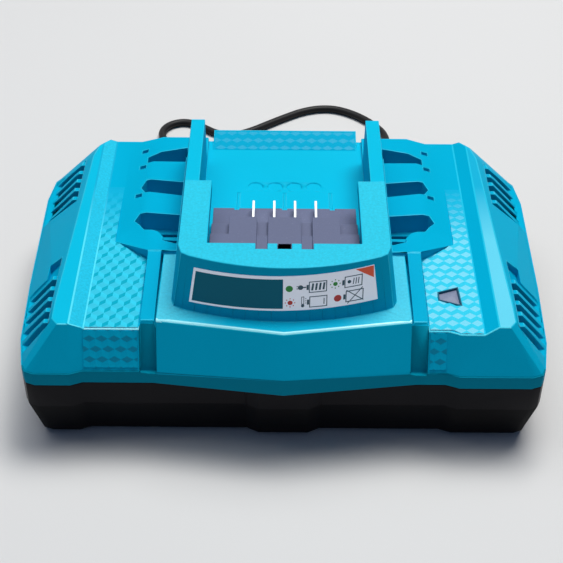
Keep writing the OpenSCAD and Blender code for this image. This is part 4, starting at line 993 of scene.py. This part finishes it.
def disc(x, y, r, sides=20):
    return [(x + r * math.cos(2 * math.pi * i / sides), y + r * math.sin(2 * math.pi * i / sides))
            for i in range(sides)]


def bar(x0, y0, x1, y1, width):
    """Stroke between two points."""
    side = Vector((y0 - y1, x1 - x0)).normalized() * width / 2
    return [(x0 + side.x, y0 + side.y), (x0 - side.x, y0 - side.y), (x1 - side.x, y1 - side.y),
            (x1 + side.x, y1 + side.y)]


def frame_strokes(x0, y0, x1, y1, width):
    e = width / 2
    return [bar(x0 - e, y0, x1 + e, y0, width), bar(x0 - e, y1, x1 + e, y1, width),
            bar(x0, y0 + e, x0, y1 - e, width), bar(x1, y0 + e, x1, y1 - e, width)]


def battery_sign(x, y):
    """Outline of a cell with its pole at the left."""
    return frame_strokes(x, y, x + 5.5, y + 3.8, 0.28) + [bar(x - 0.55, y + 1.0, x - 0.55, y + 2.8, 0.7)]


def rays(x, y):
    """Eight dots round a lamp that flashes."""
    return [disc(x + 1.5 * math.cos(a), y + 1.5 * math.sin(a), 0.2, 8)
            for a in (math.pi / 4 * i for i in range(8))]


def ink_signs():
    """Strokes of the signs beside the lamps."""
    ink = battery_sign(8.0, 6.4) + battery_sign(8.2, 0.95) + battery_sign(19.4, 6.6) + battery_sign(19.9, 1.3)
    # full cell: four slanted bars
    ink += [bar(8.9 + 1.2 * i, 7.1, 9.2 + 1.2 * i, 9.6, 0.62) for i in range(4)]
    # empty cell: one thin bar
    ink += [bar(12.8, 1.7, 12.8, 3.9, 0.3)]
    # filling cell: a drop and three thin bars
    ink += [disc(20.8, 8.5, 0.6, 12)]
    ink += [bar(22.1 + 0.8 * i, 7.4, 22.3 + 0.8 * i, 9.6, 0.28) for i in range(3)]
    # crossed cell
    ink += [bar(20.4, 0.6, 25.2, 5.8, 0.26), bar(19.9, 5.6, 25.6, 1.0, 0.26)]
    # plug with its two blades
    ink += [disc(5.2, 8.4, 0.85, 16), bar(6.0, 8.4, 7.0, 8.4, 0.4)]
    ink += [bar(4.6, y, 3.9, y, 0.24) for y in (8.8, 8.0)]
    # thermometer
    ink += frame_strokes(5.6, 2.2, 6.3, 4.9, 0.2) + [disc(5.95, 1.6, 0.55, 12)]
    ink += [bar(6.7, 2.6 + 0.8 * i, 7.1, 2.6 + 0.8 * i, 0.18) for i in range(3)]
    return ink


def make_label():
    edge = [(-LABEL_FOOT, 0), (LABEL_FOOT - 0.6, 0), (LABEL_TOP - 0.3, LABEL_TALL), (-LABEL_TOP, LABEL_TALL)]
    label = print_on_label([edge], "label_sheet", label_pale, SHEET_LIFT, SHEET_DEPTH)
    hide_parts("status_label")
    field = [(0.95 - LABEL_FOOT, 0.75), (-0.4, 0.75), (-0.4, 11.6), (0.6 - LABEL_TOP, 11.6)]
    print_on_label([field], "label_dark_field", label_green, FIELD_LIFT)
    green_lamps = [disc(1.6, 8.1, 1.15), disc(16.3, 8.5, 0.72)] + rays(16.3, 8.5)
    print_on_label(green_lamps, "label_green_signs", sign_green, SIGN_LIFT)
    red_lamps = [disc(1.9, 2.9, 0.82), disc(17.2, 3.1, 1.22)] + rays(1.9, 2.9)
    print_on_label(red_lamps, "label_red_signs", sign_red, SIGN_LIFT)
    corner = [(22.7, 12.55), (28.75, 8.3), (28.55, 12.55)]
    print_on_label([corner], "label_corner", label_orange, SIGN_LIFT)
    print_on_label(ink_signs(), "label_ink_signs", label_ink, INK_LIFT)


make_label()

# -------------------- strain relief and lead

BOOT_LOW, BOOT_HIGH = node_box("strain_relief")
BOOT_PLACE = ((BOOT_LOW.x + BOOT_HIGH.x) / 2, BACK_Y, (BOOT_LOW.z + BOOT_HIGH.z) / 2)
BOOT_LEN, BOOT_RINGS, BOOT_BORE = BOOT_HIGH.y - BACK_Y, 7, 1.78
# radius and place along the lead: flange inside the wall, neck in the wall, collar outside
BOOT_ROOT = [(BOOT_BORE, -5.8), (5.8, -5.8), (5.8, -3.95), (4.4, -3.95), (4.4, 0.15), (5.6, 0.15), (5.6, 1.5),
             (5.3, 1.9), (4.2, 2.3)]
RINGS_START, RINGS_LEN, RINGS_RADIUS, RINGS_TAPER = 3.2, BOOT_LEN - 4.6, 4.0, 1.55
RING = [(0.0, 0.0), (-0.62, 0.35), (-0.66, 0.95), (-0.12, 1.3)]
LEAD_R = 1.7 * MM
LEAD_DRAWN = 0.995  # share of the radius that is drawn
LEAD_POINTS = [
    (-45, 87, 14), (-45, 90, 14), (-45, 94, 13.4), (-45.4, 99, 11.4), (-46.3, 104, 8.6), (-47.8, 109.5, 5.4),
    (-50, 115, 2.9), (-52.6, 120.4, 1.8), (-55.2, 125.4, 1.7), (-56, 130.2, 1.7), (-54.3, 134.7, 1.7),
    (-50.6, 137.8, 1.7), (-45.8, 138.7, 1.7), (-41, 137.1, 1.7), (-36.4, 133.7, 1.7), (-31.6, 130.3, 1.7),
    (-26, 128.6, 1.7), (-20.2, 129.6, 1.7), (-14.4, 132.8, 1.7), (-7.6, 137.8, 1.7), (-0.2, 143.2, 1.7),
    (7.6, 148.2, 1.7), (15.6, 151, 1.7), (23.6, 150.8, 1.7), (31.2, 147.2, 1.7), (37.8, 141.6, 1.7),
    (42.8, 135.2, 1.7), (45.5, 129.6, 1.7), (46, 124.2, 1.7), (44.5, 117.5, 1.7), (40.3, 112, 1.7),
    (34.1, 108.8, 1.7), (26.4, 108.7, 1.7), (19, 112.6, 1.7)]
TAIL_POINTS = [(18.1, 71.2, 5.1), (22.5, 73.7, 5.4), (27.5, 76, 6), (33, 77, 6.5)]
COIL_X, COIL_Y, COIL_R, COIL_PITCH = 0.0, 92.6, 27.6, 3.44
COIL_START, COIL_RISE, COIL_STEP = math.radians(46.52), math.radians(120), math.radians(9.0)
COIL_TURNS = 4.1854
COIL_LAYER = 2.01  # from the lower layer to the upper one, in radii of the lead


def make_relief_boot():
    """Tapered rubber boot with flexing grooves, turned about the lead's axis."""
    profile = list(BOOT_ROOT)
    for i in range(BOOT_RINGS):
        radius = RINGS_RADIUS - RINGS_TAPER * i / BOOT_RINGS
        start = RINGS_START + RINGS_LEN * i / BOOT_RINGS
        profile += [(radius + r, start + y) for r, y in RING]
    profile += [(2.5, BOOT_LEN - 0.4), (2.25, BOOT_LEN), (BOOT_BORE, BOOT_LEN)]
    bm = bmesh.new()
    ring = [bm.verts.new((r, y, 0)) for r, y in profile]
    for a, b in zip(ring, ring[1:] + ring[:1]):
        bm.edges.new((a, b))
    bmesh.ops.spin(bm, geom=bm.verts[:] + bm.edges[:], cent=(0, 0, 0), axis=(0, 1, 0), angle=2 * math.pi,
                   steps=40, use_merge=True)
    place_in_metres(bm, Matrix.Translation(BOOT_PLACE))
    boot = keep(bm, "relief_boot", [lead_rubber], smooth=40.0)
    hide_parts("strain_relief")
    return boot


def catmull(points, steps):
    """Smooth curve through all the points but the first and the last, which only steer its ends."""
    out = []
    for i in range(1, len(points) - 2):
        p0, p1, p2, p3 = (Vector(p) for p in points[i - 1:i + 3])
        for s in range(steps):
            t = s / steps
            out.append(0.5 * (2 * p1 + (p2 - p0) * t + (2 * p0 - 5 * p1 + 4 * p2 - p3) * t * t
                              + (3 * p1 - p0 - 3 * p2 + p3) * t ** 3))
    out.append(Vector(points[-2]))
    return out


def coil_points():
    """Middle line of the coil: inwards below, up one layer, and outwards on top of it."""
    centre = Vector((COIL_X, COIL_Y)) * MM
    spiral = COIL_TURNS * 2 * math.pi
    total = 2 * spiral + COIL_RISE
    pitch = COIL_PITCH * MM / (2 * math.pi)
    steps = int(total / COIL_STEP)
    out = []
    for i in range(1, steps + 1):
        a = total * i / steps
        if a < spiral:
            radius, height = COIL_R * MM - pitch * a, 0.0
        elif a < spiral + COIL_RISE:
            radius = COIL_R * MM - pitch * spiral
            height = (1 - math.cos(math.pi * (a - spiral) / COIL_RISE)) / 2
        else:
            radius, height = COIL_R * MM - pitch * (total - a), 1.0
        angle = COIL_START + a
        out.append(Vector((centre.x + radius * math.cos(angle), centre.y + radius * math.sin(angle),
                           LEAD_R + height * COIL_LAYER * LEAD_R)))
    return out


def lead_points():
    """Middle line of the whole lead: behind the charger, round the coil and on to the plug."""
    coil = coil_points()
    route = [Vector(p) * MM for p in LEAD_POINTS]
    tail = [Vector(p) * MM for p in TAIL_POINTS]
    before = route[0] - Vector((0, 3 * MM, 0))
    beyond = tail[-1] + Vector((5 * MM, 0, 0))
    return (catmull([before] + route + [coil[1]], 4) + coil
            + catmull([coil[-2], coil[-1]] + tail + [beyond], 4)[1:])


def make_lead(relief_boot):
    """One length of two-core lead."""
    points = lead_points()
    curve = bpy.data.curves.new("mains_lead", "CURVE")
    curve.dimensions = "3D"
    curve.bevel_depth = LEAD_R * LEAD_DRAWN
    curve.bevel_resolution = 4
    curve.use_fill_caps = True
    spline = curve.splines.new("POLY")
    spline.points.add(len(points) - 1)
    for point, where in zip(spline.points, points):
        point.co = (*where, 1.0)
    spline.use_smooth = True
    lead = bpy.data.objects.new("mains_lead", curve)
    scene.collection.objects.link(lead)
    curve.materials.append(lead_rubber)
    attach(lead, "root")
    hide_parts("mains_cord", "cord_coil", "cord_tail")


make_lead(make_relief_boot())

# -------------------- floor

GROUND_HALF = 3.0  # metres
GROUND_SHADES = (linear(212, 211, 209), linear(220, 219, 217))


def make_floor():
    """Wide pale floor with a faint cloudy tone."""
    bm = bmesh.new()
    bmesh.ops.create_grid(bm, x_segments=2, y_segments=2, size=GROUND_HALF)
    mesh = bpy.data.meshes.new("studio_floor")
    bm.to_mesh(mesh)
    bm.free()
    floor = bpy.data.objects.new("studio_floor", mesh)
    scene.collection.objects.link(floor)
    material, tree, shader = plain_material("pale_floor")
    mix = colour_mix(tree)
    mix.inputs["A"].default_value = (*GROUND_SHADES[0], 1)
    mix.inputs["B"].default_value = (*GROUND_SHADES[1], 1)
    tree.links.new(noise_node(tree, 3.0), mix.inputs["Factor"])
    tree.links.new(mix.outputs["Result"], shader.inputs["Base Color"])
    shader.inputs["Roughness"].default_value = 0.7
    mesh.materials.append(material)


make_floor()

# -------------------- end


def finish():
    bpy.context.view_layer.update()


finish()
